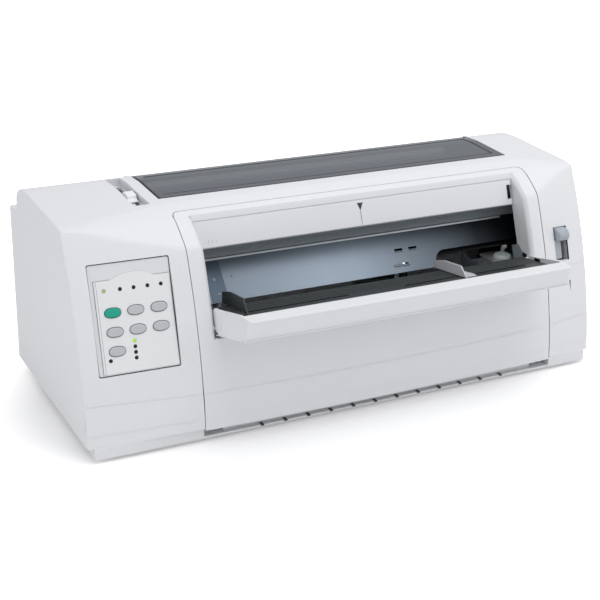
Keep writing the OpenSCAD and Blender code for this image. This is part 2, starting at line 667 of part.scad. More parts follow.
module platen_gear() color(nylon) at_body() gear_at(platen_at) spur(teeth_platen, 4.98, 9, platen_turn);
module idler_gear() color(nylon) at_body() gear_at(idler_at) spur(teeth_idler, 3.06, 7, idler_turn);
module tractor_gear() color(nylon) at_body() gear_at(tractor_at) spur(teeth_tractor, 4.98, 8, tractor_turn);
module motor_pinion() color(steel) at_body() gear_at(pinion_at) spur(teeth_pinion, 2.5, 4, pinion_turn);
module gear_studs() color(steel) at_body() {
    rod_x(frame_right[1], 284.4, idler_at[0], idler_at[1], 3);
    rod_x(frame_right[1], 272, idler_at[0], idler_at[1], 6);
    rod_x(frame_right[1], 290, select_pivot[0], select_pivot[1], 3);
    rod_x(frame_right[1], 279, select_pivot[0], select_pivot[1], 6);
}
module paper_motor() color(black) at_body() {
    rod_x(226, 266.9, pinion_at[0], pinion_at[1], 18);
    rod_x(266.9, 271, pinion_at[0], pinion_at[1], 9.4);
    rod_x(271, 282, pinion_at[0], pinion_at[1], 2.44);
}
module tractor_shaft() color(steel) at_body() {
    block([frame_left[1] + 2, frame_right[0] - 2], [shaft_y - 3, shaft_y + 3], [shaft_z - 3, shaft_z + 3]);
    rod_x(frame_left[0] - 4, frame_left[1] + 2.05, shaft_y, shaft_z, 5.5);
    rod_x(frame_right[0] - 2.05, frame_right[1] + 5, shaft_y, shaft_z, 5.5);
    rod_x(frame_right[1] + 5, 284, shaft_y, shaft_z, 5);
}
module tractor_rod() color(steel) at_body()
    rod_x(frame_left[0] - 2, frame_right[1] + 2, tractor_rod_at[0], tractor_rod_at[1], 4);
tractor_left_x = -152;
tractor_right_x = 232;
// A sliding clamp with a toothed wheel and a door that holds the paper's holes on the pins
module tractor(x) {
    translate([x, 0, 0]) {
        difference() {
            union() {
                along_x(-10, 10, [[82, 88], [114, 88], [118, 94], [118, 110], [112, 114.4], [82, 114.4], [76, 108],
                    [76, 94]]);
                along_x(-8, 8, [[84, 72], [100, 72], [102, 90], [82, 90]]);
            }
            along_x(-6, 6, [[90, 89.8], [130, 89.8], [130, 130], [90, 130]]);
            rod_x(-12, 12, shaft_y, shaft_z, 5.6);
            rod_x(-12, 12, tractor_rod_at[0], tractor_rod_at[1], 4.06);
        }
        // Paper door with its thumb dome
        difference() {
            along_x(-10, 10, [[78, 116.4], [114, 116.4], [116, 118.4], [110, 121], [84, 121], [78, 119]]);
            along_x(-6, 6, [[94, 110], [130, 110], [130, 118.6], [94, 118.6]]);
        }
        translate([-2, 86, 120]) sphere(r = 8, $fn = 48);
        for (x = [-9.4, 6.4]) block([x, x + 3], [79, 86], [112, 117]);
    }
}
module sprocket(x) difference() {
    union() {
        rod_x(x - 5, x + 5, shaft_y, shaft_z, 10);
        for (i = [0:5]) translate([x, shaft_y, shaft_z]) rotate([i * 60 + 30, 0, 0]) translate([0, 0, 8])
            cylinder(h = 3.6, r = 1.6, $fn = 24);
    }
    block([x - 6, x + 6], [shaft_y - 3.1, shaft_y + 3.1], [shaft_z - 3.1, shaft_z + 3.1]);
}
module left_tractor() color(mid_grey) at_body() tractor(tractor_left_x);
module right_tractor() color(mid_grey) at_body() tractor(tractor_right_x);
module left_sprocket() color(nylon) at_body() sprocket(tractor_left_x);
module right_sprocket() color(nylon) at_body() sprocket(tractor_right_x);

// ---- Electronics ----
module main_board() color(board_green) at_body() {
    block([40, 250], [130, 255], [14, 15.6]);
    for (x = [60, 150, 220]) block([x, x + 24], [150, 174], [15.6, 19]);
    for (x = [100, 130]) block([x, x + 12], [200, 236], [15.6, 19]);
    for (x = [48, 240], y = [136, 248]) translate([x, y, 6.5]) cylinder(h = 7.5, r = 3, $fn = 24);
}
module power_supply() color(board_green) at_body() {
    block([-300, -215], [60, 255], [14, 15.6]);
    block([-290, -240], [90, 140], [15.6, 60]);
    for (i = [0:2]) translate([-230, 100 + i * 30, 15.6]) cylinder(h = 36, r = 9, $fn = 32);
    block([-286, -282], [150, 230], [15.6, 52]);
    for (x = [-294, -221], y = [66, 248]) translate([x, y, 6.5]) cylinder(h = 7.5, r = 3, $fn = 24);
}
switch_z = (port_z[0] + port_z[1]) / 2;
switch_pivot = [258, switch_z];
// Mains socket and the switch's frame, one moulding
module power_inlet() color(black) at_body() difference() {
    union() {
        for (x = [inlet_x, switch_x])
            block([x[0] + 0.4, x[1] - 0.4], [238, body_d - 0.4], [port_z[0] + 0.4, port_z[1] - 0.4]);
        block([inlet_x[0] - 4, switch_x[1] + 4], [body_d - wall - 3, body_d - wall - 0.2], [port_z[0] - 3, port_z[1] + 3]);
    }
    block([inlet_x[0] + 4, inlet_x[1] - 4], [246, 300], [port_z[0] + 4, port_z[1] - 4]);
    block([switch_x[0] + 2, switch_x[1] - 2], [246, 300], [port_z[0] + 1.6, port_z[1] - 1.6]);
    rod_x(switch_x[0] - 1, switch_x[1] + 1, switch_pivot[0], switch_pivot[1], 1.26);
}
module power_switch() color(black) at_body() {
    along_x(switch_x[0] + 2.4, switch_x[1] - 2.4, [[253, switch_z - 7], [266.6, switch_z - 8.6], [267, switch_z],
        [269.2, switch_z + 8], [253, switch_z + 7]]);
    rod_x(switch_x[0] + 0.8, switch_x[1] - 0.8, switch_pivot[0], switch_pivot[1], 1.2);
}
module interface_ports() color(steel) at_body() {
    difference() {
        block([ports_x[0] + 2, ports_x[0] + 60], [244, body_d - 0.8], [port_z[0] + 4, port_z[1] - 4]);
        block([ports_x[0] + 5, ports_x[0] + 57], [256, 300], [port_z[0] + 7, port_z[1] - 7]);
    }
    difference() {
        block([ports_x[0] + 66, ports_x[0] + 80], [244, body_d - 0.8], [port_z[0] + 4, port_z[1] - 6]);
        block([ports_x[0] + 68, ports_x[0] + 78], [256, 300], [port_z[0] + 6, port_z[1] - 8]);
    }
    block([ports_x[0] + 2, ports_x[1] - 10], [244, 252], [15.7, port_z[0] + 3.9]);
}
module frame_screws() color(steel) at_body()
    for (x = [-209, 274], y = [74, 194]) translate([x, y, 12.05]) {
        cylinder(h = 2.4, r = 3, $fn = 24);
    }
module cover_screws() color(steel) at_body()
    for (x = [-276, 276], z = [38, 182]) {
        rod_y(body_d - 8, body_d - 1.3, x, z, 1.7);
        rod_y(body_d - 1.35, body_d - 0.2, x, z, 3);
    }

base_pan();
feet();
upper_casing();
rear_cover();
front_cover();
sheet_tray();
tray_floor();
left_edge_guide();
right_edge_guide();
exit_flap();
access_cover();
panel_bezel();
panel_board();
led_lenses();
start_button();
load_button();
form_feed_button();
tear_off_button();
line_feed_button();
setup_button();
font_button();
paper_select_lever();
thickness_lever();
left_side_frame();
right_side_frame();
guide_plate();
front_rail();
rear_bridge();
lower_guide();
cross_bar();
carriage_rod();
carriage();
print_head();
ribbon_cartridge();
carriage_motor();
drive_pulley();
idler_pulley();
carriage_belt();
platen();
platen_shaft();
platen_bearings();
platen_gear();
idler_gear();
tractor_gear();
motor_pinion();
gear_studs();
paper_motor();
tractor_shaft();
tractor_rod();
left_tractor();
right_tractor();
left_sprocket();
right_sprocket();
main_board();
power_supply();
power_inlet();
power_switch();
interface_ports();
frame_screws();
cover_screws();
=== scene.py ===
import math

import bmesh
import bpy
from mathutils import Matrix, Vector


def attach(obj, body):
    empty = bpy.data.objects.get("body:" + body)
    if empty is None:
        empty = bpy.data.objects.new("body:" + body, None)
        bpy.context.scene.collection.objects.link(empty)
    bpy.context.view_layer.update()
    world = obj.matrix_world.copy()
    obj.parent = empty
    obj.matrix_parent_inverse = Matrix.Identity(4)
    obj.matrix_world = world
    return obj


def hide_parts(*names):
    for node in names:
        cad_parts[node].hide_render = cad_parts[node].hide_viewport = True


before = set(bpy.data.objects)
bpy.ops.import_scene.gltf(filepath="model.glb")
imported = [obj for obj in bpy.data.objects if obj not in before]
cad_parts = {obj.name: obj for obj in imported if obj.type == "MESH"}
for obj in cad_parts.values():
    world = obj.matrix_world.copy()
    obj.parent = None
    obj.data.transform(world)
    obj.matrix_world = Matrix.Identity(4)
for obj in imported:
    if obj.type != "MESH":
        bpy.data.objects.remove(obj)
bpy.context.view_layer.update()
bpy.ops.object.select_all(action="DESELECT")

# Sizes are in millimetres: x along the carriage, y counted back from the front foot line, z up.
# place() turns them into metres in the frame that all the parts share.
MM = 0.001
FRONT_LINE = -0.111  # where the front foot line lies in that frame, in metres
HALF_WIDTH = 318
FRONT_BOW = 8.7  # how far the front's ends lie behind its middle
WALL = 3
SEAM_LEFT, SEAM_RIGHT = -190, 259
SEAM_GAP = 0.9
MOUTH = (-169.5, 238.8)
MOUTH_FOOT, MOUTH_BACK = 111, 88.6
CASING_FOOT, COVER_FOOT = 17, 15
COVER_PIVOT = (14, 20)  # each pivot is a y and a z
TRAY_PIVOT = (30, 120)
FLAP_PIVOT = (88, 219)
WINDOW_PIVOT = (217.5, 233.2)
SELECT_PIVOT = (78, 165)
SMOOTH_ANGLE = math.radians(40)


def place(x, y, z):
    return Vector((x * MM, y * MM + FRONT_LINE, z * MM))


# ---- Modelling helpers ----
def take(piece):
    """Makes one piece the selected and active one."""
    bpy.ops.object.select_all(action="DESELECT")
    piece.select_set(True)
    bpy.context.view_layer.objects.active = piece


def edit(piece, kind="VERT"):
    take(piece)
    bpy.ops.object.mode_set(mode="EDIT")
    bpy.ops.mesh.select_mode(type=kind)


def leave():
    bpy.ops.object.mode_set(mode="OBJECT")


def pick(piece, kind, test):
    """Selects, in edit mode, the vertices, edges or faces that pass a test."""
    mesh = bmesh.from_edit_mesh(piece.data)
    bpy.ops.mesh.select_all(action="DESELECT")
    for item in getattr(mesh, kind):
        item.select = bool(test(item))
    mesh.select_flush_mode()
    bmesh.update_edit_mesh(piece.data)


def named(name):
    piece = bpy.context.object
    piece.name = name
    piece.data.name = name
    return piece


def block(name, x, y, z):
    bpy.ops.mesh.primitive_cube_add(size=1, location=place(sum(x) / 2, sum(y) / 2, sum(z) / 2))
    piece = named(name)
    piece.scale = Vector((x[1] - x[0], y[1] - y[0], z[1] - z[0])) * MM
    bpy.ops.object.transform_apply()
    return piece


TURN = {"x": (0, math.pi / 2, 0), "y": (math.pi / 2, 0, 0), "z": (0, 0, 0)}


def rod(name, axis, centre, length, radius, sides=48, tip=None):
    """A cylinder, or with a tip radius a cone, along one axis and centred on a place."""
    if tip is None:
        bpy.ops.mesh.primitive_cylinder_add(vertices=sides, radius=radius * MM, depth=length * MM,
                                            location=place(*centre), rotation=TURN[axis])
    else:
        bpy.ops.mesh.primitive_cone_add(vertices=sides, radius1=radius * MM, radius2=tip * MM,
                                        depth=length * MM, location=place(*centre), rotation=TURN[axis])
    piece = named(name)
    bpy.ops.object.transform_apply()
    return piece


def start_at(name, spot):
    """A mesh of one vertex, from which an outline is extruded."""
    bpy.ops.mesh.primitive_plane_add(size=MM)
    piece = named(name)
    edit(piece)
    bpy.ops.mesh.select_all(action="SELECT")
    bpy.ops.mesh.merge(type="CENTER")
    bpy.ops.transform.translate(value=spot)
    return piece


def trace(name, spots):
    """An open chain of edges through the places given; left in edit mode with all selected."""
    piece = start_at(name, spots[0])
    for here, there in zip(spots, spots[1:]):
        bpy.ops.mesh.extrude_region_move(TRANSFORM_OT_translate={"value": there - here})
    bpy.ops.mesh.select_all(action="SELECT")
    return piece


def sweep(name, spots, way):
    """A closed outline filled and extruded along a vector."""
    piece = trace(name, spots)
    bpy.ops.mesh.edge_face_add()
    bpy.ops.mesh.extrude_region_move(TRANSFORM_OT_translate={"value": way})
    bpy.ops.mesh.select_all(action="SELECT")
    bpy.ops.mesh.normals_make_consistent(inside=False)
    leave()
    return piece


def bar(name, outline, x0, x1):
    """A prism along x with its outline given in y and z."""
    return sweep(name, [place(x0, y, z) for y, z in outline], Vector(((x1 - x0) * MM, 0, 0)))


def pane(name, outline, z0, z1):
    """A prism along z with its outline given in x and y."""
    return sweep(name, [place(x, y, z0) for x, y in outline], Vector((0, 0, (z1 - z0) * MM)))


def apply_modifier(piece, kind, **values):
    take(piece)
    modifier = piece.modifiers.new(kind.title(), kind)
    for key, value in values.items():
        setattr(modifier, key, value)
    bpy.ops.object.modifier_apply(modifier=modifier.name)


def combine(piece, operation, *tools):
    for tool in tools:
        apply_modifier(piece, "BOOLEAN", operation=operation, object=tool, solver="MANIFOLD")
        bpy.data.meshes.remove(tool.data)
    return piece


def cut(piece, *tools):
    return combine(piece, "DIFFERENCE", *tools)


def keep(piece, *tools):
    return combine(piece, "INTERSECT", *tools)


def join(piece, *others):
    take(piece)
    for other in others:
        other.select_set(True)
    bpy.ops.object.join()
    return piece


def twin(piece, name):
    take(piece)
    bpy.ops.object.duplicate()
    return named(name)


def soften(piece, width, segments=3, angle=30):
    """Rounds the edges sharper than an angle, the width in millimetres."""
    apply_modifier(piece, "BEVEL", width=width * MM, segments=segments, limit_method="ANGLE",
                   angle_limit=math.radians(angle), use_clamp_overlap=False, loop_slide=True,
                   miter_outer="MITER_ARC")
    return piece


def clean(piece):
    """Merges the vertices that cuts have left on top of each other."""
    edit(piece)
    bpy.ops.mesh.select_all(action="SELECT")
    bpy.ops.mesh.remove_doubles(threshold=0.02 * MM)
    leave()
    return piece


def round_edges(piece, radius, segments, test):
    """Rounds the edges that pass a test."""
    edit(piece, "EDGE")
    pick(piece, "edges", test)
    bpy.ops.mesh.bevel(offset=radius * MM, segments=segments, affect="EDGES")
    leave()
    return piece


def upright(edge, height):
    """Whether an edge rises by more than a height."""
    return abs(edge.verts[0].co.z - edge.verts[1].co.z) > height * MM


def eased_block(name, x, y, z, radius):
    """A block with the corners of its outline in x and y rounded."""
    return round_edges(block(name, x, y, z), radius, 4, lambda e: upright(e, 0.9 * (z[1] - z[0])))


def pins(name, span, stand_out, pivot, length, radius):
    """The two pivot pins at the ends of a piece, each centred a little outside them."""
    return [rod(name, "x", (x, *pivot), length, radius, 24) for x in (span[0] - stand_out, span[1] + stand_out)]


def done(piece, finish, body, replaces=()):
    """Shades a piece, gives it its finish and puts it on its body."""
    take(piece)
    bpy.ops.object.shade_smooth_by_angle(angle=SMOOTH_ANGLE)
    apply_modifier(piece, "WEIGHTED_NORMAL", keep_sharp=True, weight=60)
    piece.data.materials.clear()
    piece.data.materials.append(finish)
    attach(piece, body)
    if replaces:
        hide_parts(*replaces)
    piece.select_set(False)


# ---- Finishes ----
def grain_group():
    """Moulded texture: a fine height and a slight change of tone and roughness."""
    group = bpy.data.node_groups.new("Moulded grain", "ShaderNodeTree")
    for name, kind, way in (("Vector", "NodeSocketVector", "INPUT"), ("Scale", "NodeSocketFloat", "INPUT"),
                            ("Tone", "NodeSocketColor", "INPUT"), ("Mottle", "NodeSocketFloat", "INPUT"),
                            ("Roughness", "NodeSocketFloat", "INPUT"), ("Color", "NodeSocketColor", "OUTPUT"),
                            ("Roughness", "NodeSocketFloat", "OUTPUT"), ("Height", "NodeSocketFloat", "OUTPUT")):
        group.interface.new_socket(name=name, in_out=way, socket_type=kind)
    nodes, links = group.nodes, group.links
    into, out = nodes.new("NodeGroupInput"), nodes.new("NodeGroupOutput")
    fine, broad = nodes.new("ShaderNodeTexNoise"), nodes.new("ShaderNodeTexNoise")
    fine.inputs["Detail"].default_value = 4
    broad.inputs["Scale"].default_value = 7
    broad.inputs["Detail"].default_value = 2
    links.new(into.outputs["Vector"], fine.inputs["Vector"])
    links.new(into.outputs["Vector"], broad.inputs["Vector"])
    links.new(into.outputs["Scale"], fine.inputs["Scale"])
    share = nodes.new("ShaderNodeMath")
    share.operation = "MULTIPLY_ADD"
    share.inputs[2].default_value = 1
    centred = nodes.new("ShaderNodeMath")
    centred.operation = "SUBTRACT"
    centred.inputs[1].default_value = 0.5
    links.new(broad.outputs["Fac"], centred.inputs[0])
    links.new(centred.outputs[0], share.inputs[0])
    links.new(into.outputs["Mottle"], share.inputs[1])
    tone = nodes.new("ShaderNodeVectorMath")
    tone.operation = "SCALE"
    links.new(into.outputs["Tone"], tone.inputs[0])
    links.new(share.outputs[0], tone.inputs["Scale"])
    links.new(tone.outputs[0], out.inputs["Color"])
    rough = nodes.new("ShaderNodeMath")
    rough.operation = "MULTIPLY"
    links.new(into.outputs["Roughness"], rough.inputs[0])
    links.new(share.outputs[0], rough.inputs[1])
    links.new(rough.outputs[0], out.inputs["Roughness"])
    links.new(fine.outputs["Fac"], out.inputs["Height"])
    return group


GRAIN = grain_group()


def finish(name, tone, roughness, grain=900, bump=0.0, mottle=0.05, metallic=0.0, coat=0.0, stretch=(1, 1, 1)):
    """A material with the moulded grain at a scale, and with as much bump and mottling as asked."""
    material = bpy.data.materials.new(name)
    material.use_nodes = True
    nodes, links = material.node_tree.nodes, material.node_tree.links
    shader = nodes["Principled BSDF"]
    coords = nodes.new("ShaderNodeTexCoord")
    mapping = nodes.new("ShaderNodeMapping")
    mapping.inputs["Scale"].default_value = stretch
    links.new(coords.outputs["Object"], mapping.inputs["Vector"])
    texture = nodes.new("ShaderNodeGroup")
    texture.node_tree = GRAIN
    links.new(mapping.outputs["Vector"], texture.inputs["Vector"])
    texture.inputs["Scale"].default_value = grain
    texture.inputs["Tone"].default_value = (*tone, 1)
    texture.inputs["Mottle"].default_value = mottle
    texture.inputs["Roughness"].default_value = roughness
    links.new(texture.outputs["Color"], shader.inputs["Base Color"])
    links.new(texture.outputs["Roughness"], shader.inputs["Roughness"])
    if bump:
        relief = nodes.new("ShaderNodeBump")
        relief.inputs["Strength"].default_value = bump
        relief.inputs["Distance"].default_value = 0.0002
        links.new(texture.outputs["Height"], relief.inputs["Height"])
        links.new(relief.outputs["Normal"], shader.inputs["Normal"])
    shader.inputs["Metallic"].default_value = metallic
    shader.inputs["Coat Weight"].default_value = coat
    return material


def tone(*levels):
    """A screen colour, each level from 0 to 255, as the shader's linear values."""
    return tuple((c / 255 / 12.92) if c <= 10 else ((c / 255 + 0.055) / 1.055) ** 2.4 for c in levels)


SHELL = finish("Pale grey moulding", tone(226, 227, 230), 0.48, bump=0.12, mottle=0.015)
SHELL_INNER = finish("Grey moulding", tone(196, 198, 202), 0.5, bump=0.12, mottle=0.03)
PANEL_GREY = finish("Panel grey", tone(221, 222, 225), 0.5, bump=0.1, mottle=0.02)
LABEL_FIELD = finish("Panel label field", tone(230, 231, 233), 0.35, mottle=0.01)
# Dark grey moulding; the whole left edge guide also gets it as painted shade, its face lying in shadow.
DARK_GREY_AND_GUIDE_SHADE = finish("Dark grey moulding and painted guide shade", tone(52, 57, 58), 0.42, bump=0.1)
BLACK = finish("Black moulding", tone(20, 21, 23), 0.4, bump=0.1)
SLATE = finish("Slate grey moulding", tone(142, 151, 156), 0.4, bump=0.1)
GREY_GREEN = finish("Grey green moulding", tone(178, 187, 184), 0.4, bump=0.1)
ZINC = finish("Zinc plated sheet", tone(150, 162, 172), 0.34, grain=60, mottle=0.12, metallic=0.85)
DULL_ZINC = finish("Dull zinc strap", tone(78, 92, 106), 0.4, grain=60, mottle=0.12, metallic=0.6)
# Pale metal; on the hem strip it paints the highlight of the guide plate's bent top edge.
PALE_METAL_AND_HEM_HIGHLIGHT = finish("Pale metal and painted hem highlight", tone(214, 219, 224), 0.35, mottle=0.03, metallic=0.3)
STEEL = finish("Ground steel", tone(190, 192, 195), 0.25, grain=300, metallic=1.0, stretch=(1, 12, 12))
NYLON = finish("Natural nylon", tone(228, 224, 210), 0.45, mottle=0.03)
RUBBER = finish("Platen rubber", tone(26, 27, 28), 0.7, grain=1500, bump=0.3)
BOARD = finish("Solder mask", tone(28, 92, 52), 0.3, grain=120, mottle=0.2, coat=0.3)
TEAL = finish("Teal button", tone(22, 160, 135), 0.4, mottle=0.02)
BUTTON = finish("Grey button", tone(188, 189, 193), 0.42, mottle=0.02)
# Dark print for the sight mark; the same dark also paints the shade of the gaps under the front cover's foot.
PRINT_AND_GAP_SHADE = finish("Printed mark and painted gap shade", tone(52, 54, 58), 0.5, mottle=0.02)
# Painted shade: thin dark strips along the label field's left and top edges and in its left groove.
FIELD_EDGE_SHADE = finish("Painted shade at the label field's edges", tone(120, 122, 127), 0.5, mottle=0.02)
LEVER = finish("Blue grey lever", tone(164, 171, 180), 0.4, mottle=0.02)
TAB = finish("White tab", tone(240, 240, 242), 0.4, mottle=0.01)
SMOKE_RIM = finish("Smoked window rim", tone(20, 22, 25), 0.6, mottle=0.02)


def lamp_finish(name, shade, strength):
    material = finish(name, shade, 0.2, mottle=0.0)
    shader = material.node_tree.nodes["Principled BSDF"]
    shader.inputs["Emission Color"].default_value = (*shade, 1)
    shader.inputs["Emission Strength"].default_value = strength
    return material


LAMP_ON = lamp_finish("Lit green lamp", tone(140, 196, 66), 0.55)
LAMP_DIM = lamp_finish("Dim green lamp", tone(158, 168, 116), 0.2)
LAMP_OFF = lamp_finish("Unlit lamp", tone(26, 28, 32), 0.0)


def smoked():
    """Clear dark plastic; its values are the same all over."""
    material = bpy.data.materials.new("Smoked window")
    material.use_nodes = True
    shader = material.node_tree.nodes["Principled BSDF"]
    shader.inputs["Base Color"].default_value = (*tone(86, 92, 100), 1)
    shader.inputs["Roughness"].default_value = 0.12
    shader.inputs["Alpha"].default_value = 0.86
    shader.inputs["IOR"].default_value = 1.49
    return material


SMOKE = smoked()


def sheet_with_painted_reflection():
    """Zinc sheet with painted shade towards its ends; at the right end it paints the reflection of the dark inside.
    Each end goes from and to an x in metres with a share of its tone.
    """
    material = finish("Guide plate sheet with painted reflection", tone(146, 159, 172), 0.36, grain=60, mottle=0.12, metallic=0.8)
    nodes, links = material.node_tree.nodes, material.node_tree.links
    shader = nodes["Principled BSDF"]
    sheet_tone = shader.inputs["Base Color"].links[0].from_socket
    spread = nodes.new("ShaderNodeSeparateXYZ")
    links.new(nodes["Texture Coordinate"].outputs["Object"], spread.inputs[0])
    # Painted reflection and shade: the tone falls to 0.08 towards the right end and to half towards the left end.
    right_painted_reflection, left_painted_shade = ((0.03, 1), (0.2, 0.08)), ((-0.15, 0.5), (-0.01, 1))
    for reach in (right_painted_reflection, left_painted_shade):
        fall, scaled = nodes.new("ShaderNodeMapRange"), nodes.new("ShaderNodeVectorMath")
        links.new(spread.outputs["X"], fall.inputs["Value"])
        for end, (where, level) in zip(("Min", "Max"), reach):
            fall.inputs["From " + end].default_value = where
            fall.inputs["To " + end].default_value = level
        scaled.operation = "SCALE"
        links.new(sheet_tone, scaled.inputs[0])
        links.new(fall.outputs["Result"], scaled.inputs["Scale"])
        sheet_tone = scaled.outputs[0]
    links.new(sheet_tone, shader.inputs["Base Color"])
    return material


SHEET_WITH_PAINTED_REFLECTION = sheet_with_painted_reflection()
NODE_FINISH = {
    "base_pan": SHELL, "feet": RUBBER, "rear_cover": SHELL, "panel_board": BOARD,
    "left_side_frame": ZINC, "right_side_frame": ZINC, "guide_plate": ZINC, "front_rail": STEEL,
    "rear_bridge": ZINC, "lower_guide": BLACK, "cross_bar": DARK_GREY_AND_GUIDE_SHADE, "carriage_rod": STEEL,
    "carriage": BLACK, "print_head": DARK_GREY_AND_GUIDE_SHADE, "ribbon_cartridge": BLACK, "carriage_motor": BLACK,
    "drive_pulley": NYLON, "idler_pulley": NYLON, "carriage_belt": RUBBER, "platen": RUBBER,
    "platen_shaft": STEEL, "platen_bearings": NYLON, "platen_gear": NYLON, "idler_gear": NYLON,
    "tractor_gear": NYLON, "motor_pinion": STEEL, "gear_studs": STEEL, "paper_motor": BLACK,
    "tractor_shaft": STEEL, "tractor_rod": STEEL, "left_tractor": SHELL_INNER, "right_tractor": SHELL_INNER,
    "left_sprocket": NYLON, "right_sprocket": NYLON, "main_board": BOARD, "power_supply": BOARD,
    "power_inlet": BLACK, "power_switch": BLACK, "interface_ports": STEEL, "frame_screws": STEEL,
    "cover_screws": STEEL, "thickness_lever": TAB, "paper_select_lever": LEVER, "left_edge_guide": DARK_GREY_AND_GUIDE_SHADE,
    "right_edge_guide": SHELL_INNER, "tray_floor": DARK_GREY_AND_GUIDE_SHADE, "exit_flap": SHELL, "led_lenses": LAMP_OFF,
    "panel_bezel": PANEL_GREY, "sheet_tray": SHELL, "access_cover": SMOKE, "upper_casing": SHELL,
    "front_cover": SHELL}
for name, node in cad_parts.items():
    for spot in node.material_slots:
        spot.material = NODE_FINISH.get(name, BUTTON)


# ---- Covers ----
FRONT_ROWS = 14  # steps from the foot up to the brow
RIDGE_Y = 90.6  # from here back the roof is nearly level
STATIONS = [-298, -280, -262, -244, -226, -208, -190.8, -160, -120, -80, -40, 0, 40, 80, 120, 160,
            200, 230, 259.7, 270, 282, 298]
END_ROUND = 2.6
LIP_ROUND = 6


def front_y(z):
    """Where the curved front is at one height, at the middle."""
    return 0.06 * z + 0.00095 * z * z


def bow(x):
    """How far behind the middle the front lies at one x."""
    return FRONT_BOW * (x / HALF_WIDTH) ** 2


def share(x):
    """0 between the seams, growing to 1 at the outer corners, where the blend runs out."""
    if x < SEAM_LEFT:
        return min(1, (SEAM_LEFT - x) / 125)
    if x > SEAM_RIGHT:
        return min(1, (x - SEAM_RIGHT) / 56)
    return 0


def roof(x, y, inset=0):
    """Height of the casing's top: two slopes that blend into it, and a nearly level ridge."""
    u = share(x)
    return min(204 + 0.7778 * (y - 55) + 15.47 * u - 1.27 * inset,
               225 + 0.3633 * (y - 82) + 11.115 * u - 1.06 * inset,
               232.3 + 0.1456 * (y - 70) - inset, 235.3 + 0.02834 * (y - RIDGE_Y) - inset)


def round_off(rows, widths):
    """Replaces corners of an outline, given by number with a width, by three points each."""
    eased = []
    for i, row in enumerate(rows):
        if i not in widths:
            eased.append(row)
            continue
        here, before, after = Vector(row), Vector(rows[i - 1]), Vector(rows[i + 1])
        first, last = (here + (there - here).normalized() * min(widths[i], 0.45 * (there - here).length)
                       for there in (before, after))
        eased += [tuple(first), tuple((first + here * 2 + last) / 4), tuple(last)]
    return eased


def casing_section(x, inset=0, foot=COVER_FOOT):
    """The y and z of each row of the casing's skin at one x, or of a skin set in from it."""
    shift = bow(x) + 1.06 * inset
    brow = 204
    for _ in range(40):
        brow = roof(x, front_y(brow) + shift, inset)
    rows = []
    for i in range(FRONT_ROWS + 1):
        level = foot + (brow - foot) * i / FRONT_ROWS
        rows.append((front_y(level) + shift, level))
    u = share(x)
    steep = 82 - 10.5 * u + 0.49 * inset
    crest = 112 - 33.18 * u + 0.19 * inset
    if crest < RIDGE_Y:
        crest = 123.55 - 51.06 * u + 0.3 * inset
    y = rows[-1][0]
    for step in (steep, crest, max(crest + 3, RIDGE_Y)):
        y = max(y, step)
        rows.append((y, roof(x, y, inset)))
    back = 240 - inset
    rows += [(140, 236.7 - inset), (190, 238.7 - inset), (212, 237.6 - inset), (221, 236 - inset),
             (228.5 - inset / 2, 233.4 - inset), (234.5 - inset, 229.4 - inset / 2), (238.6 - inset, 224),
             (back, 218), (back, 204 - inset), (270 - inset, 204 - inset), (270 - inset, foot)]
    return round_off(rows, {FRONT_ROWS: 4, FRONT_ROWS + 1: 14, FRONT_ROWS + 2: 14, len(rows) - 2: 3})


def loft(name, sections):
    """A closed solid through outlines in y and z, each with its x and all with as many points."""
    x0, rows = sections[0]
    solid = trace(name, [place(x0, y, z) for y, z in rows])
    mesh = bmesh.from_edit_mesh(solid.data)
    row_of = mesh.verts.layers.int.new("row")
    mesh.verts.ensure_lookup_table()
    for i, vertex in enumerate(mesh.verts):
        vertex[row_of] = i
    bmesh.update_edit_mesh(solid.data)
    for (here, _), (there, rows) in zip(sections, sections[1:]):
        bpy.ops.mesh.extrude_region_move(TRANSFORM_OT_translate={"value": ((there - here) * MM, 0, 0)})
        mesh = bmesh.from_edit_mesh(solid.data)
        row_of = mesh.verts.layers.int["row"]
        for vertex in mesh.verts:
            if vertex.select:
                vertex.co = place(there, *rows[vertex[row_of]])
        bmesh.update_edit_mesh(solid.data)
    for end in (sections[0][0], sections[-1][0]):
        pick(solid, "verts", lambda v: abs(v.co.x - end * MM) < 1e-6)
        bpy.ops.mesh.edge_face_add()
    pick(solid, "edges", lambda e: e.is_boundary)
    bpy.ops.mesh.edge_face_add()
    bpy.ops.mesh.select_all(action="SELECT")
    bpy.ops.mesh.remove_doubles(threshold=0.01 * MM)
    bpy.ops.mesh.normals_make_consistent(inside=False)
    leave()
    return solid


def rounded_ends(x0, x1, radius, steps=4):
    """The x and the inset of each station that rounds both ends of a loft."""
    turns = [math.pi / 2 * i / steps for i in range(steps + 1)]
    left = [(x0 + radius * (1 - math.sin(t)), radius * (1 - math.cos(t))) for t in reversed(turns)]
    return left, [(x0 + x1 - x, inset) for x, inset in reversed(left)]


def casing_solid(name, inset=0):
    """The casing as one closed solid, or the hollow inside it."""
    if inset:
        edge = HALF_WIDTH - inset
        return loft(name, [(x, casing_section(x, inset, 6)) for x in [-edge] + STATIONS + [edge]])
    left, right = rounded_ends(-HALF_WIDTH, HALF_WIDTH, END_ROUND)
    spots = left + [(x, 0) for x in STATIONS] + right
    return loft(name, [(x, casing_section(x, round_in)) for x, round_in in spots])


def pillar_solid(name, edge, side):
    """The casing beside the mouth, its edge rounded towards the mouth."""
    spots = [(edge + side * 40, 0), (edge + side * 20, 0)]
    for i in range(7):
        turn = math.pi / 2 * i / 6
        spots.append((edge + side * LIP_ROUND * (1 - math.sin(turn)), LIP_ROUND * (1 - math.cos(turn))))
    return loft(name, [(x, casing_section(x, inset)) for x, inset in sorted(spots)])


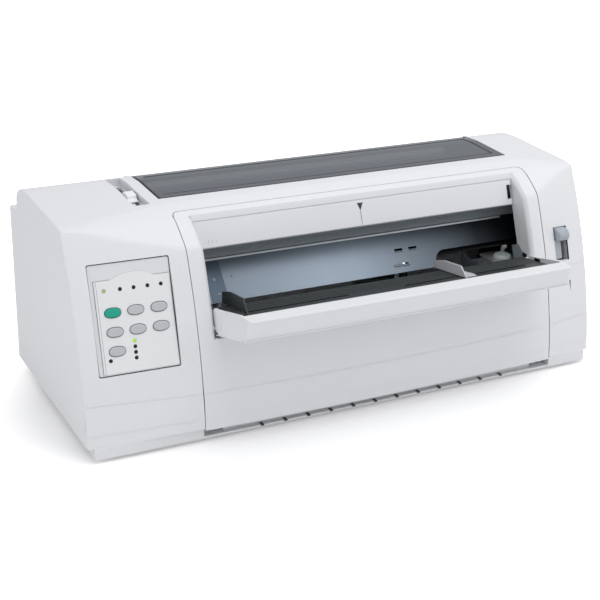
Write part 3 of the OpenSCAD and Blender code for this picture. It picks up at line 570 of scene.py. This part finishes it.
def pillar_wall(name, x0, x1, deep, top_y, foot, form=None):
    """A wall along y that follows the front from the inside."""
    wall = bar(name, [(0, foot), (deep, foot), (front_y(80) + deep, 80), (front_y(150) + deep, 150),
                      (front_y(200) + deep, 200), (top_y, 216), (top_y, 250), (0, 250)], x0, x1)
    return keep(wall, twin(form or trim, "trim_tool"))


casing = casing_solid("casing_skin")
trim = casing_solid("casing_trim", 0.25)
cut(casing, casing_solid("casing_hollow", WALL))
cover = twin(casing, "front_cover_shell")


def cover_region(name, gap):
    """The front cover's region: its rear corners are rounded in plan."""
    region = block(name, (SEAM_LEFT + gap, SEAM_RIGHT - gap), (-30, 98 - gap), (0, 270))
    return round_edges(region, 8, 6, lambda e: upright(e, 100) and all(v.co.y > -0.02 for v in e.verts))


# Plane of the operator panel: x across, y up the panel, z out of it
PANEL_MIDDLE = -255
PANEL_FOOT = 89
PANEL_TOP = 198.5
PANEL_DEPTH = 4.7
PANEL_LEAN = math.atan2(front_y(PANEL_TOP) - front_y(PANEL_FOOT), PANEL_TOP - PANEL_FOOT)
PANEL_LENGTH = (PANEL_TOP - PANEL_FOOT) / math.cos(PANEL_LEAN)
PANEL_Y = front_y(PANEL_FOOT) + bow(PANEL_MIDDLE) + PANEL_DEPTH
PANEL = (Matrix.Translation(place(PANEL_MIDDLE, PANEL_Y, PANEL_FOOT))
         @ Matrix.Rotation(math.atan(2 * FRONT_BOW * PANEL_MIDDLE / HALF_WIDTH ** 2), 4, "Z")
         @ Matrix.Rotation(math.pi / 2 - PANEL_LEAN, 4, "X")
         @ Matrix.Translation(-place(PANEL_MIDDLE, 0, 0)))


def on_panel(piece):
    """Moves a piece that was drawn flat onto the leaning panel."""
    take(piece)
    piece.matrix_world = PANEL @ piece.matrix_world
    bpy.ops.object.transform_apply()
    return piece


# Upper casing
WINDOW_OPENING = (-191.3, 258.6)
LEDGE = (-188.7, 256)
panel_recess = on_panel(eased_block("panel_recess", (-299.4, -210.8), (-0.4, PANEL_LENGTH + 0.4), (-12, 30), 2))
cut(casing, cover_region("front_gap", 0),
    block("foot_level", (-330, 330), (-30, 300), (0, CASING_FOOT)),
    block("window_opening", WINDOW_OPENING, (128.8, 222.4), (231.6, 260)),
    block("window_deep", WINDOW_OPENING, (132.4, 222.4), (190, 260)),
    block("lever_recess", (-223, -205), (117, 215), (190, 260)),
    eased_block("select_slot", (274, 293.5), (0, 70), (129, 168), 0.5),
    block("paper_slot", (-172, 241), (200, 250), (209, 221)),
    block("rear_opening", (-286, 286), (250, 275), (24, 196)), panel_recess)
recess_tub = block("recess_tub", (-225, -203), (115, 217), (224, 250))
keep(recess_tub, twin(trim, "trim_tool"))
cut(recess_tub, block("recess_space", (-223.3, -204.7), (116.7, 215.3), (228, 260)),
    block("recess_slit", (-212, -206.8), (122, 209), (220, 260)))
ledges = join(block("window_ledge", LEDGE, (126, 128.8), (228.5, 235)),
              block("window_step", LEDGE, (128.4, 132.4), (228.5, 231.6)),
              block("left_window_ear", (-196.7, -191.3), (212.5, 223.5), (228, 236.6)),
              block("right_window_ear", (258.6, 264), (212.5, 223.5), (228, 236.6)))
ledge_line = bar("ledge_line", [(28, 124.2), (40, 124.2), (40, 126.6), (28.2, 126.6), (27.4, 125.4)], 263, 313)
keep(ledge_line, casing_solid("ledge_form", -0.7))
cut(casing, sweep("wedge_notch", [place(290.6, 0, 105.4), place(293.6, 0, 105.4), place(292.6, 0, 91)],
                  Vector((0, 26.6 * MM, 0))))
slot_wall = bar("select_slot_wall", [(28, 126), (45, 126), (57, 170), (36, 170)], 293.5, 295.5)
keep(slot_wall, twin(trim, "trim_tool"))
seam_walls = [pillar_wall("seam_wall", x, x + WALL, 14, 102, CASING_FOOT) for x in (SEAM_LEFT - WALL, SEAM_RIGHT)]
join(casing, recess_tub, ledges, ledge_line, slot_wall, *seam_walls)
casing.name = "upper_casing_shell"
done(clean(casing), SHELL, "machine", ["upper_casing"])

# Front cover
keep(cover, cover_region("front_region", SEAM_GAP))
cut(cover, block("mouth", (MOUTH[0] - WALL + 0.4, MOUTH[1] + WALL - 0.4), (-30, MOUTH_BACK), (MOUTH_FOOT, 260)))
pillars = []
for edge, side in zip(MOUTH, (-1, 1)):
    form = pillar_solid("pillar_form", edge, side)
    flare = block("flare", sorted((edge, edge + side * LIP_ROUND)), (-30, MOUTH_BACK), (MOUTH_FOOT, 260))
    cut(cover, cut(flare, twin(form, "flare_form")))
    pillars.append(pillar_wall("mouth_wall", *sorted((edge, edge + side * WALL)), 34, 93, 20, form))
    bpy.data.meshes.remove(form.data)
ears = []
for x in (SEAM_LEFT + 8, SEAM_RIGHT - 12):
    ears += [bar("hinge_ear", [(front_y(20) + bow(x) + 1.5, 17.5), (15, 16.6), (17.4, 20), (15, 23.4),
                               (front_y(34) + bow(x) + 2.8, 34), (front_y(34) + bow(x) + 1.5, 34)], x, x + 4),
             rod("hinge_pin", "x", (x + 2, *COVER_PIVOT), 10, 2, 32)]
valance = bar("mouth_valance", [(88.9, 227.4), (87.6, 224.6), (86.4, 220.9), (87, 220.7), (89, 222.9),
                                (91.5, 227)], MOUTH[0] - 1, MOUTH[1] + 1)
join(cover, *pillars, valance, block("panel_return", MOUTH, (20, 34), (105, 108)), *ears)
done(clean(cover), SHELL, "front_cover", ["front_cover"])
bpy.data.meshes.remove(trim.data)

# Exit flap with its sight mark
FLAP = (MOUTH[0] + 1, MOUTH[1] - 1)


def flap_face(z, proud=0.0):
    """Where the flap's face is at one height; it slopes forward to its lower edge."""
    return 76.6 + 0.345 * (z - 192.4) - proud


flap = bar("exit_flap_bar", [(flap_face(192.4), 192.4), (78.4, 190.6), (80.2, 191.2), (87.6, 214.6), (90.2, 217.4),
                             (90.4, 220.6), (88.6, 221.6), (flap_face(218.6), 218.6)], *FLAP)
soften(flap, 0.8, 3)
cut(flap, eased_block("flap_slot", (231, 237.6), (60, 100), (197.6, 214.4), 0.4))
join(flap, *pins("flap_pin", MOUTH, 0.25, FLAP_PIVOT, 3.5, 1.5))
done(flap, SHELL, "exit_flap", ["exit_flap"])


def flap_print(name, corners):
    """A printed mark that lies on the flap's face."""
    return sweep(name, [place(x, flap_face(z, 0.12), z) for x, z in corners], Vector((0, 0.3 * MM, 0)))


sight = join(flap_print("sight_mark", [(29.2, 217), (36.6, 217), (32.6, 208.6)]),
             flap_print("sight_line", [(32.3, 208.8), (32.9, 208.8), (33.2, 194), (32.8, 194)]))
done(sight, PRINT_AND_GAP_SHADE, "exit_flap")
ticks = [flap_print("scale_tick", [(x - 0.3, 197), (x + 0.3, 197), (x + 0.3, 200.6), (x - 0.3, 200.6)])
         for x in (-154, -149.6, -145.2)]
done(join(*ticks), BUTTON, "exit_flap")

# Access cover
WINDOW = (-190.7, 258)
LENS = (WINDOW[0] + 10, WINDOW[1] - 10)
window_plate = bar("access_cover_plate", [(129.4, 231.9), (129.4, 236.4), (190, 238.7), (205, 238), (214, 236.9),
                                          (218.4, 235.8), (220, 234.2), (220, 232.2), (218, 231.6), (190, 234.2)],
                   *WINDOW)
soften(window_plate, 0.8, 3)
cut(window_plate,
    bar("lens_underside", [(141.4, 220), (141.4, 234.1), (190, 236), (208, 235.2), (208, 220)], *LENS),
    bar("lens_field", [(141.4, 236.2), (141.4, 245), (208, 245), (208, 237.1), (190, 238)], *LENS),
    block("finger_notch", (20, 50), (128, 131.9), (230, 234)))
join(window_plate, *pins("window_pin", WINDOW, 1.6, WINDOW_PIVOT, 4, 1.5))
done(window_plate, SMOKE, "access_cover", ["access_cover"])
rim_side = bar("window_rim_side", [(129.2, 231.8), (129.2, 236.6), (190, 238.9), (205, 238.2), (214, 237.1),
                                   (218.6, 236), (218.6, 233)], WINDOW[0] - 0.2, WINDOW[0] + 2.2)
rim_front = bar("window_rim_front", [(129.1, 231.8), (129.1, 236.55), (130.5, 236.6), (130.5, 234)],
                WINDOW[0] + 2, WINDOW[1])
lens_line = block("lens_line", (LENS[0] - 0.6, LENS[1] + 0.6), (140.6, 141.4), (236, 236.95))
done(join(rim_side, rim_front, lens_line), SMOKE_RIM, "access_cover")

# Sheet tray
TRAY = (MOUTH[0] + 1, MOUTH[1] - 1)
TRAY_MIDDLE, TRAY_HALF = sum(TRAY) / 2, 203.65


def tray_section(x, inset=0):
    """The y and z of the tray's outline at one x; the lip bows 3 mm forward at its middle."""
    lip = 3 * ((x - TRAY_MIDDLE) / TRAY_HALF) ** 2 + inset
    return round_off([(22, 114.5), (lip - 46, 131.5), (lip - 48, 154), (lip - 28, 154.3), (0, 149), (12, 146),
                      (22, 144)], {1: 1.6, 2: 1.6, 3: 1.6})


left, right = rounded_ends(*TRAY, 4)
tray = loft("sheet_tray_shell", [(x, tray_section(x, inset)) for x, inset in
                                 left + [(x, 0) for x in range(-150, 225, 25)] + right])
cut(tray, bar("tray_hollow", [(40, 117.5), (22, 118), (-24, 129.8), (-27, 134), (-27.4, 170), (40, 170)],
              TRAY[0] + WALL, TRAY[1] - WALL),
    bar("lip_hollow", [(-24, 129.8), (-42, 134.4), (-43.4, 150), (-30, 150), (-20, 140)],
        TRAY[0] + 22, TRAY[1] - WALL - 3))


def rise(value, start, end):
    """0 before the start, 1 past the end, and straight between them."""
    return max(0, min(1, (value - start) / (end - start)))


# The left end leans in towards the lip's top
edit(tray)
mesh = bmesh.from_edit_mesh(tray.data)
for vertex in mesh.verts:
    x, y, z = vertex.co.x / MM, (vertex.co.y - FRONT_LINE) / MM, vertex.co.z / MM
    vertex.co.x += 7.5 * MM * rise(y, 20, -42) * rise(z, 126, 154) * rise(x, -128, -168)
bmesh.update_edit_mesh(tray.data)
leave()
cheeks = [bar("tray_cheek", [(11, 118), (20, 115.4), (34.6, 116), (35.6, 138), (29, 143), (11, 144)], x, x + WALL)
          for x in (TRAY[0], TRAY[1] - WALL)]
join(tray, *cheeks, bar("tray_tail", [(20, 115), (34.6, 113.4), (35.4, 116.2), (21, 118)], *TRAY),
     *pins("tray_pin", TRAY, 1.3, TRAY_PIVOT, 4.6, 2.2))
done(clean(tray), SHELL, "sheet_tray", ["sheet_tray"])


def floor_level(y, above=0.0):
    """A place on the tray's sloping floor, or above it, as its y and z."""
    return y, 136.5 - 0.1537 * (y - 44) + above


# Tray floor with its ridges and the slots that the edge guides run in; its front corners clear the tray's ends
CORNER = 11
CORNER_Y = -13
floor_plate = bar("tray_floor_plate", [floor_level(-27.2, -2.5), floor_level(-27.2), (44, 136.5), (44, 134)],
                  TRAY[0] + WALL + 0.3, TRAY[1] - WALL - 0.3)
cut(floor_plate, eased_block("left_guide_slot", (-158, -20), (6, 10), (110, 170), 1.9),
    eased_block("right_guide_slot", (50, 212), (6, 10), (110, 170), 1.9),
    *[block("floor_corner", (x, x + CORNER), (-40, CORNER_Y), (110, 160)) for x in (TRAY[0], TRAY[1] - CORNER)])
ridges = []
for y in (-22, -17, -12, -7, 14, 20, 26, 32, 38):
    short = CORNER if y < CORNER_Y + 1 else 6
    level = floor_level(y)[1]
    ridges.append(bar("floor_ridge", [(y - 0.7, level - 0.3), (y - 0.3, level + 0.5), (y + 0.3, level + 0.5),
                                      (y + 0.7, level - 0.3)], TRAY[0] + short, TRAY[1] - short))
done(join(floor_plate, *ridges), DARK_GREY_AND_GUIDE_SHADE, "sheet_tray", ["tray_floor"])


def edge_guide(name, x, side, height, material):
    """A sliding paper edge guide: an upright plate with a slanted front edge on a flat base."""
    plate = bar(name, [floor_level(-7, 0.6), floor_level(60, 0.6), floor_level(60, height - 4),
                       floor_level(40, height), floor_level(6, height)], x - 0.9, x + 0.9)
    soften(plate, 0.5, 2)
    base = bar(name + "_base", [floor_level(-6, 0.6), floor_level(38, 0.6), floor_level(38, 2), floor_level(-6, 2)],
               *sorted((x, x + side * 14)))
    soften(base, 0.5, 2)
    level = floor_level(8)[1]
    runner = block(name + "_runner", (x + side * 6 - 3, x + side * 6 + 3), (6.3, 9.7), (level - 5, level + 1.2))
    grips = [bar(name + "_grip", [(y, floor_level(y, 1.8)[1]), (y + 1.6, floor_level(y, 1.8)[1]),
                                  (y + 0.8, floor_level(y, 3.2)[1])], *sorted((x + side * 3, x + side * 13)))
             for y in (-4, 0, 4)]
    done(join(plate, base, runner, *grips), material, name, [name])


# The left guide's dark grey is painted shade of its face in shadow; the right guide keeps the pale inner grey.
edge_guide("left_edge_guide", -146, -1, 17, DARK_GREY_AND_GUIDE_SHADE)
edge_guide("right_edge_guide", 122, 1, 13, SHELL_INNER)

# ---- Operator panel ----
BUTTON_COLUMNS = (-277, -252.6, -227.6)
BUTTON_ROWS = (64.4, 44.4, 24.6)
LAMP_ROW = [(x, 87.6) for x in (-283.7, -266.5, -252, -237.2, -222.7)]
LAMP_COLUMN = [(-257.6, 32.9 - 5.85 * i) for i in range(4)]
LAMPS = LAMP_ROW + LAMP_COLUMN + [(-285, 15.7)]
LIT = {LAMP_ROW[0]: LAMP_DIM, LAMP_COLUMN[0]: LAMP_ON}
BUTTONS = {"start_button": (0, 0), "load_button": (1, 0), "form_feed_button": (2, 0), "tear_off_button": (0, 1),
           "line_feed_button": (1, 1), "setup_button": (2, 1), "font_button": (0, 2)}


def oval(name, centre, size, z0, z1):
    """A prism with a slightly squared elliptic outline, drawn flat for the panel."""
    sides, power = 48, 2 / 2.3
    outline = []
    for i in range(sides):
        across, along = math.cos(2 * math.pi * i / sides), math.sin(2 * math.pi * i / sides)
        outline.append((centre[0] + size[0] / 2 * math.copysign(abs(across) ** power, across),
                        centre[1] + size[1] / 2 * math.copysign(abs(along) ** power, along)))
    return pane(name, outline, z0, z1)


bezel = eased_block("panel_bezel_plate", (-298.4, -211.6), (0.6, PANEL_LENGTH - 0.6), (0, 3), 1.8)
soften(bezel, 0.5, 2, 60)
field = pane("panel_label_field", [(-293.6, 1.6), (-212.6, 1.6), (-212.6, 98), (-230, 98), (-233.5, 100.6),
                                   (-238, 102.5), (-244, 103.7), (-250, 104.2), (-256, 103.8), (-262, 102.8),
                                   (-268, 101.2), (-272, 99.6), (-275, 98), (-293.6, 98)], 2.9, 3.9)
soften(field, 0.7, 2, 60)
for name, (column, row) in BUTTONS.items():
    centre = (BUTTON_COLUMNS[column], BUTTON_ROWS[row])
    hole = oval("button_hole", centre, (18.3, 11.1), -1, 10)
    cut(bezel, twin(hole, "bezel_hole"))
    cut(field, hole)
    cap = oval(name, centre, (16.9, 9.7), -2, 5.6)
    soften(cap, 1.3, 4, 60)
    flange = oval(name + "_flange", centre, (20, 13), -2, -0.4)
    colour, slot = (TEAL, "teal_button") if name == "start_button" else (BUTTON, "grey_button")
    done(on_panel(join(cap, flange)), colour, name, [name])
LAMP_HOLE = 2.15
for i, (x, y) in enumerate(LAMPS):
    cut(bezel, rod("bezel_hole", "z", (x, y, 2), 10, LAMP_HOLE, 32))
    cut(field, rod("field_hole", "z", (x, y, 4), 6, LAMP_HOLE, 32))
    lens = rod("lamp_lens_%d" % i, "z", (x, y, 0.4), 6.8, 2, 24)
    soften(lens, 0.7, 3, 60)
    done(on_panel(lens), LIT.get((x, y), LAMP_OFF), "machine", ["led_lenses"])
done(on_panel(bezel), PANEL_GREY, "machine", ["panel_bezel"])
done(on_panel(field), LABEL_FIELD, "machine", ["panel_bezel"])
# Thin dark strips paint the shade along the label field's left and top edges and in the groove inside its left
# chamfer.
field_edge_shades = [block("field_edge_shade", x, y, z) for x, y, z in (
    ((-294, -293.5), (1.6, 98.4), (2.9, 3.2)), ((-294, -275), (98, 98.45), (2.9, 3.2)),
    ((-230, -212.6), (98, 98.45), (2.9, 3.2)), ((-291.4, -291.1), (1.8, 97), (3.8, 3.96)))]
done(on_panel(join(*field_edge_shades)), FIELD_EDGE_SHADE, "machine")

# ---- Levers ----
knob = bar("paper_select_knob", [(31, 157), (33, 153.6), (38, 153), (45, 154), (47, 160), (47, 167.2), (40, 167.4),
                                 (33.5, 165.4), (31, 161)], 275.8, 291.2)
soften(knob, 2.2, 4)
skirt = bar("paper_select_skirt", [(40, 153.4), (44.5, 153.4), (37.6, 131.2), (32.8, 131.2)], 275, 284.4)
soften(skirt, 0.8, 2)
arm = bar("paper_select_arm", [(36, 155), (46, 156), (76, 159), (84, 165), (78, 171), (44, 166), (36, 166)],
          282, 286)
hub = rod("paper_select_hub", "x", (284, *SELECT_PIVOT), 8, 8)
select_lever = join(knob, skirt, arm, hub)
cut(select_lever, rod("hub_bore", "x", (284, *SELECT_PIVOT), 40, 3.06))
done(select_lever, LEVER, "paper_select_lever", ["paper_select_lever"])

CAM = (-211.5, -207.3)
CAM_SLOT = (131.4, 202.6)
CAM_SLOT_Z = 192
CAM_SLOT_HALF = 6.3
tab = bar("thickness_tab", [(147, 229), (147, 230.8), (153.6, 231.4), (154.8, 235), (157, 236), (167.6, 236.6),
                            (169.4, 235), (169.4, 229)], -218, -206.6)
soften(tab, 1, 3)
stem = block("thickness_stem", CAM, (152, 160), (200.3, 229.4))
cam_plate = block("thickness_cam", CAM, (118, 216), (178, 200.4))
cut(cam_plate, block("cam_slot", (-214, -205), CAM_SLOT, (CAM_SLOT_Z - CAM_SLOT_HALF, CAM_SLOT_Z + CAM_SLOT_HALF)),
    *[rod("cam_slot_end", "x", (-209.5, y, CAM_SLOT_Z), 9, CAM_SLOT_HALF, 32) for y in CAM_SLOT])
done(join(tab, stem, cam_plate), TAB, "thickness_lever", ["thickness_lever"])


# ---- Paper path seen through the mouth ----
CROSS = (-201.95, 266.95)


def sheet_y(z):
    """Where the guide plate's slope is at one height."""
    return 71 + 0.8876 * (z - 130)


plate = bar("guide_plate_sheet", [(71, 130), (72, 129.2), (105.6, 166.8), (118, 166.8), (118, 168.2),
                                  (105.8, 168.2), (104.2, 167.5)], *CROSS)
arch = round_edges(block("arch", (132, 262), (56, 88), (118, 145)), 16, 8,
                   lambda e: all(v.co.z > 0.144 and v.co.x < 0.14 for v in e.verts))
HIGH_LANCES, LOW_LANCES = (84, 103), (78, 89)
cut(plate, arch, *[block("lance", (x, x + 11), (80, 100), (150, 152.2)) for x in HIGH_LANCES],
    *[block("lance", (x, x + 8), (66, 90), (136.8, 138.6)) for x in LOW_LANCES])
ends = [bar("sheet_end", [(76, 133.9), (105.7, 167), (117, 167), (116, 164), (105, 159.4), (90, 143.8)], x, x + 1.4)
        for x in (CROSS[0], CROSS[1] - 1.4)]
hoods = [rod("lance_hood", "x", (x + 4.5, sheet_y(136.2) + 0.4, 136.2), 9, 1.3, 20) for x in LOW_LANCES]
hoods += [rod("lance_hood", "x", (x + 5.5, sheet_y(149.2) + 0.5, 149.2), 10, 1.1, 20) for x in HIGH_LANCES]
# The plate's finish paints the reflection of the dark inside as shade towards its ends.
done(join(plate, *ends, *hoods), SHEET_WITH_PAINTED_REFLECTION, "machine", ["guide_plate"])
# The hem strip's pale metal paints the highlight of the plate's bent top edge; the rivets and the post share this
# pale metal.
hem = bar("sheet_hem", [(103.4, 166.5), (104.1, 166.1), (105.6, 167.7), (105.6, 168.4), (104.6, 168.4)],
          CROSS[0] + 2, 240)
rivets = [rod("sheet_rivet", "y", (x, sheet_y(z) - 0.2, z), 2.4, 1.5, 20)
          for x, z in ((-144, 150.3), (-121.2, 151))]
post = block("sheet_post", (-144.4, -140.2), (76.5, 81), (122, 138))
soften(post, 0.5, 2)
done(join(hem, *rivets, post), PALE_METAL_AND_HEM_HIGHLIGHT, "machine")
strap = bar("sheet_strap", [(71.2, 131.2), (103.6, 166.8), (104.2, 166.1), (71.8, 130.5)], -152, -133)
done(strap, DULL_ZINC, "machine")

cross_bar = bar("cross_bar_rib", [(104.8, 169), (109, 169), (111, 180), (110, 183.4), (108.6, 183.4),
                                  (107.6, 181.2), (105.6, 180.4), (105, 178.8), (105.4, 177), (104.4, 176),
                                  (104.6, 173.8), (103.6, 172.8), (103.4, 170.6)], *CROSS)
soften(cross_bar, 0.3, 2)
done(cross_bar, SLATE, "machine", ["cross_bar"])

# Fittings of the right tractor and the mouth's right wall
dome = rod("tractor_dome", "z", (232, 82, 117.7), 21.4, 14.6, 48, 11)
soften(dome, 4, 5)
roller_arm = block("tractor_roller_arm", (234.6, 238), (86, 90), (122, 134))
soften(roller_arm, 0.5, 2)
done(join(dome, roller_arm), GREY_GREEN, "right_tractor")
roller = rod("tractor_roller", "x", (236.4, 85.6, 135.4), 5, 2.4, 24)
soften(roller, 0.5, 2)
done(roller, BUTTON, "right_tractor")
stay = bar("mouth_stay", [(72, 142), (60, 147), (50, 140), (43, 130), (52, 122), (66, 126)], 237.9, 238.9)
done(stay, SLATE, "front_cover")
stay_block = block("mouth_stay_block", (237.85, 238.6), (42, 50), (135, 140))
done(stay_block, BLACK, "front_cover")
tray_arm = bar("tray_arm", [(27, 131.8), (36, 138.8), (51, 132.5), (44, 125.8)], 233.8, 237.6)
soften(tray_arm, 0.8, 2)
done(tray_arm, TAB, "sheet_tray")

# Sill of the base behind the front cover's foot, with a row of small dark blocks that paint the shade of the gaps
# under the foot
sill = block("foot_sill", (SEAM_LEFT + 24, SEAM_RIGHT - 24), (13.6, 18.2), (6.3, 12))
soften(sill, 0.6, 2)
done(sill, SHELL, "machine")
# Painted shade: small dark blocks stand for the shadowed gaps under the cover's foot.
GAP_SHADE_PITCH, GAP_SHADE_WIDTH = 28.3, 4
gap_shade_starts = [-123.4 + GAP_SHADE_PITCH * i for i in range(12)]
foot_gap_shades = [block("foot_gap_shade", (x, x + GAP_SHADE_WIDTH), (7.7, 14.2), (5, 6.62)) for x in gap_shade_starts]
done(join(*foot_gap_shades), PRINT_AND_GAP_SHADE, "machine")


# ---- Stage ----
bpy.ops.mesh.primitive_plane_add(size=14, location=(0, 0, 0))
floor = named("floor")
floor_finish = bpy.data.materials.new("Pale floor")
floor_finish.use_nodes = True
floor_nodes, floor_links = floor_finish.node_tree.nodes, floor_finish.node_tree.links
floor_shader = floor_nodes["Principled BSDF"]
floor_shader.inputs["Base Color"].default_value = (0.9, 0.9, 0.9, 1)
floor_shader.inputs["Roughness"].default_value = 0.9
floor_shader.inputs["Specular IOR Level"].default_value = 0.0
# To the camera the floor turns white away from the printer, past an oval round it, and keeps its shadow
FLOOR_OVAL = (0.36, 0.19)
floor_path, floor_glow, floor_far, floor_reach, floor_spot = (floor_nodes.new(kind) for kind in (
    "ShaderNodeLightPath", "ShaderNodeMath", "ShaderNodeMapRange", "ShaderNodeVectorMath", "ShaderNodeTexCoord"))
floor_reach.operation = "LENGTH"
floor_stretch = floor_nodes.new("ShaderNodeMapping")
floor_stretch.inputs["Scale"].default_value = (1 / FLOOR_OVAL[0], 1 / FLOOR_OVAL[1], 0)
floor_links.new(floor_spot.outputs["Object"], floor_stretch.inputs["Vector"])
floor_links.new(floor_stretch.outputs["Vector"], floor_reach.inputs[0])
floor_links.new(floor_reach.outputs["Value"], floor_far.inputs["Value"])
for socket, value in (("From Min", 0.95), ("From Max", 1.6), ("To Min", 0.2), ("To Max", 1.0)):
    floor_far.inputs[socket].default_value = value
floor_glow.operation = "MULTIPLY"
floor_links.new(floor_path.outputs["Is Camera Ray"], floor_glow.inputs[0])
floor_links.new(floor_far.outputs["Result"], floor_glow.inputs[1])
floor_links.new(floor_glow.outputs[0], floor_shader.inputs["Emission Strength"])
floor_shader.inputs["Emission Color"].default_value = (1, 1, 1, 1)
floor.data.materials.append(floor_finish)

world = bpy.data.worlds.new("Studio")
bpy.context.scene.world = world
world.use_nodes = True
world_nodes, world_links = world.node_tree.nodes, world.node_tree.links
sky = world_nodes["Background"]
path = world_nodes.new("ShaderNodeLightPath")
seen = world_nodes.new("ShaderNodeMath")
seen.operation = "MAXIMUM"
white = world_nodes.new("ShaderNodeMixRGB")
white.inputs[1].default_value = (0.6, 0.602, 0.61, 1)
white.inputs[2].default_value = (1, 1, 1, 1)
world_links.new(path.outputs["Is Camera Ray"], seen.inputs[0])
world_links.new(path.outputs["Is Transmission Ray"], seen.inputs[1])
world_links.new(seen.outputs[0], white.inputs[0])
world_links.new(white.outputs[0], sky.inputs["Color"])


def softbox(name, spot, aim, size, power):
    """A rectangular lamp turned to a place; metres and watts."""
    bpy.ops.object.light_add(type="AREA", location=spot)
    lamp = bpy.context.object
    lamp.name = name
    lamp.data.shape = "RECTANGLE"
    lamp.data.size, lamp.data.size_y = size
    lamp.data.energy = power
    lamp.rotation_euler = (Vector(aim) - Vector(spot)).to_track_quat("-Z", "Y").to_euler()


softbox("Top softbox", (0.3, -0.34, 1.9), (0, 0, 0.1), (1.8, 1.4), 16.2)
softbox("Left softbox", (-1.9, -0.3, 0.4), (0, 0, 0.12), (1.0, 0.6), 4.2)
softbox("Right softbox", (1.5, -1.4, 1.1), (0, 0, 0.1), (1.2, 1.2), 5.5)

# ---- Camera ----
CAMERA_SPOT = (-0.68066, -1.28380, 0.68389)
YAW, PITCH, ROLL = math.radians(27), math.radians(-22.1), math.radians(1.3)
ahead = Vector((math.sin(YAW) * math.cos(PITCH), math.cos(YAW) * math.cos(PITCH), math.sin(PITCH)))
level = Vector((math.cos(YAW), -math.sin(YAW), 0))
up = level.cross(ahead)
side = level * math.cos(ROLL) + up * math.sin(ROLL)
crown = -level * math.sin(ROLL) + up * math.cos(ROLL)
turn = Matrix((side, crown, -ahead)).transposed().to_4x4()
bpy.ops.object.camera_add()
camera = bpy.context.object
camera.matrix_world = Matrix.Translation(CAMERA_SPOT) @ turn
camera.data.lens = 80.74
camera.data.sensor_width = 36
bpy.context.scene.camera = camera
bpy.context.scene.view_settings.view_transform = "Standard"
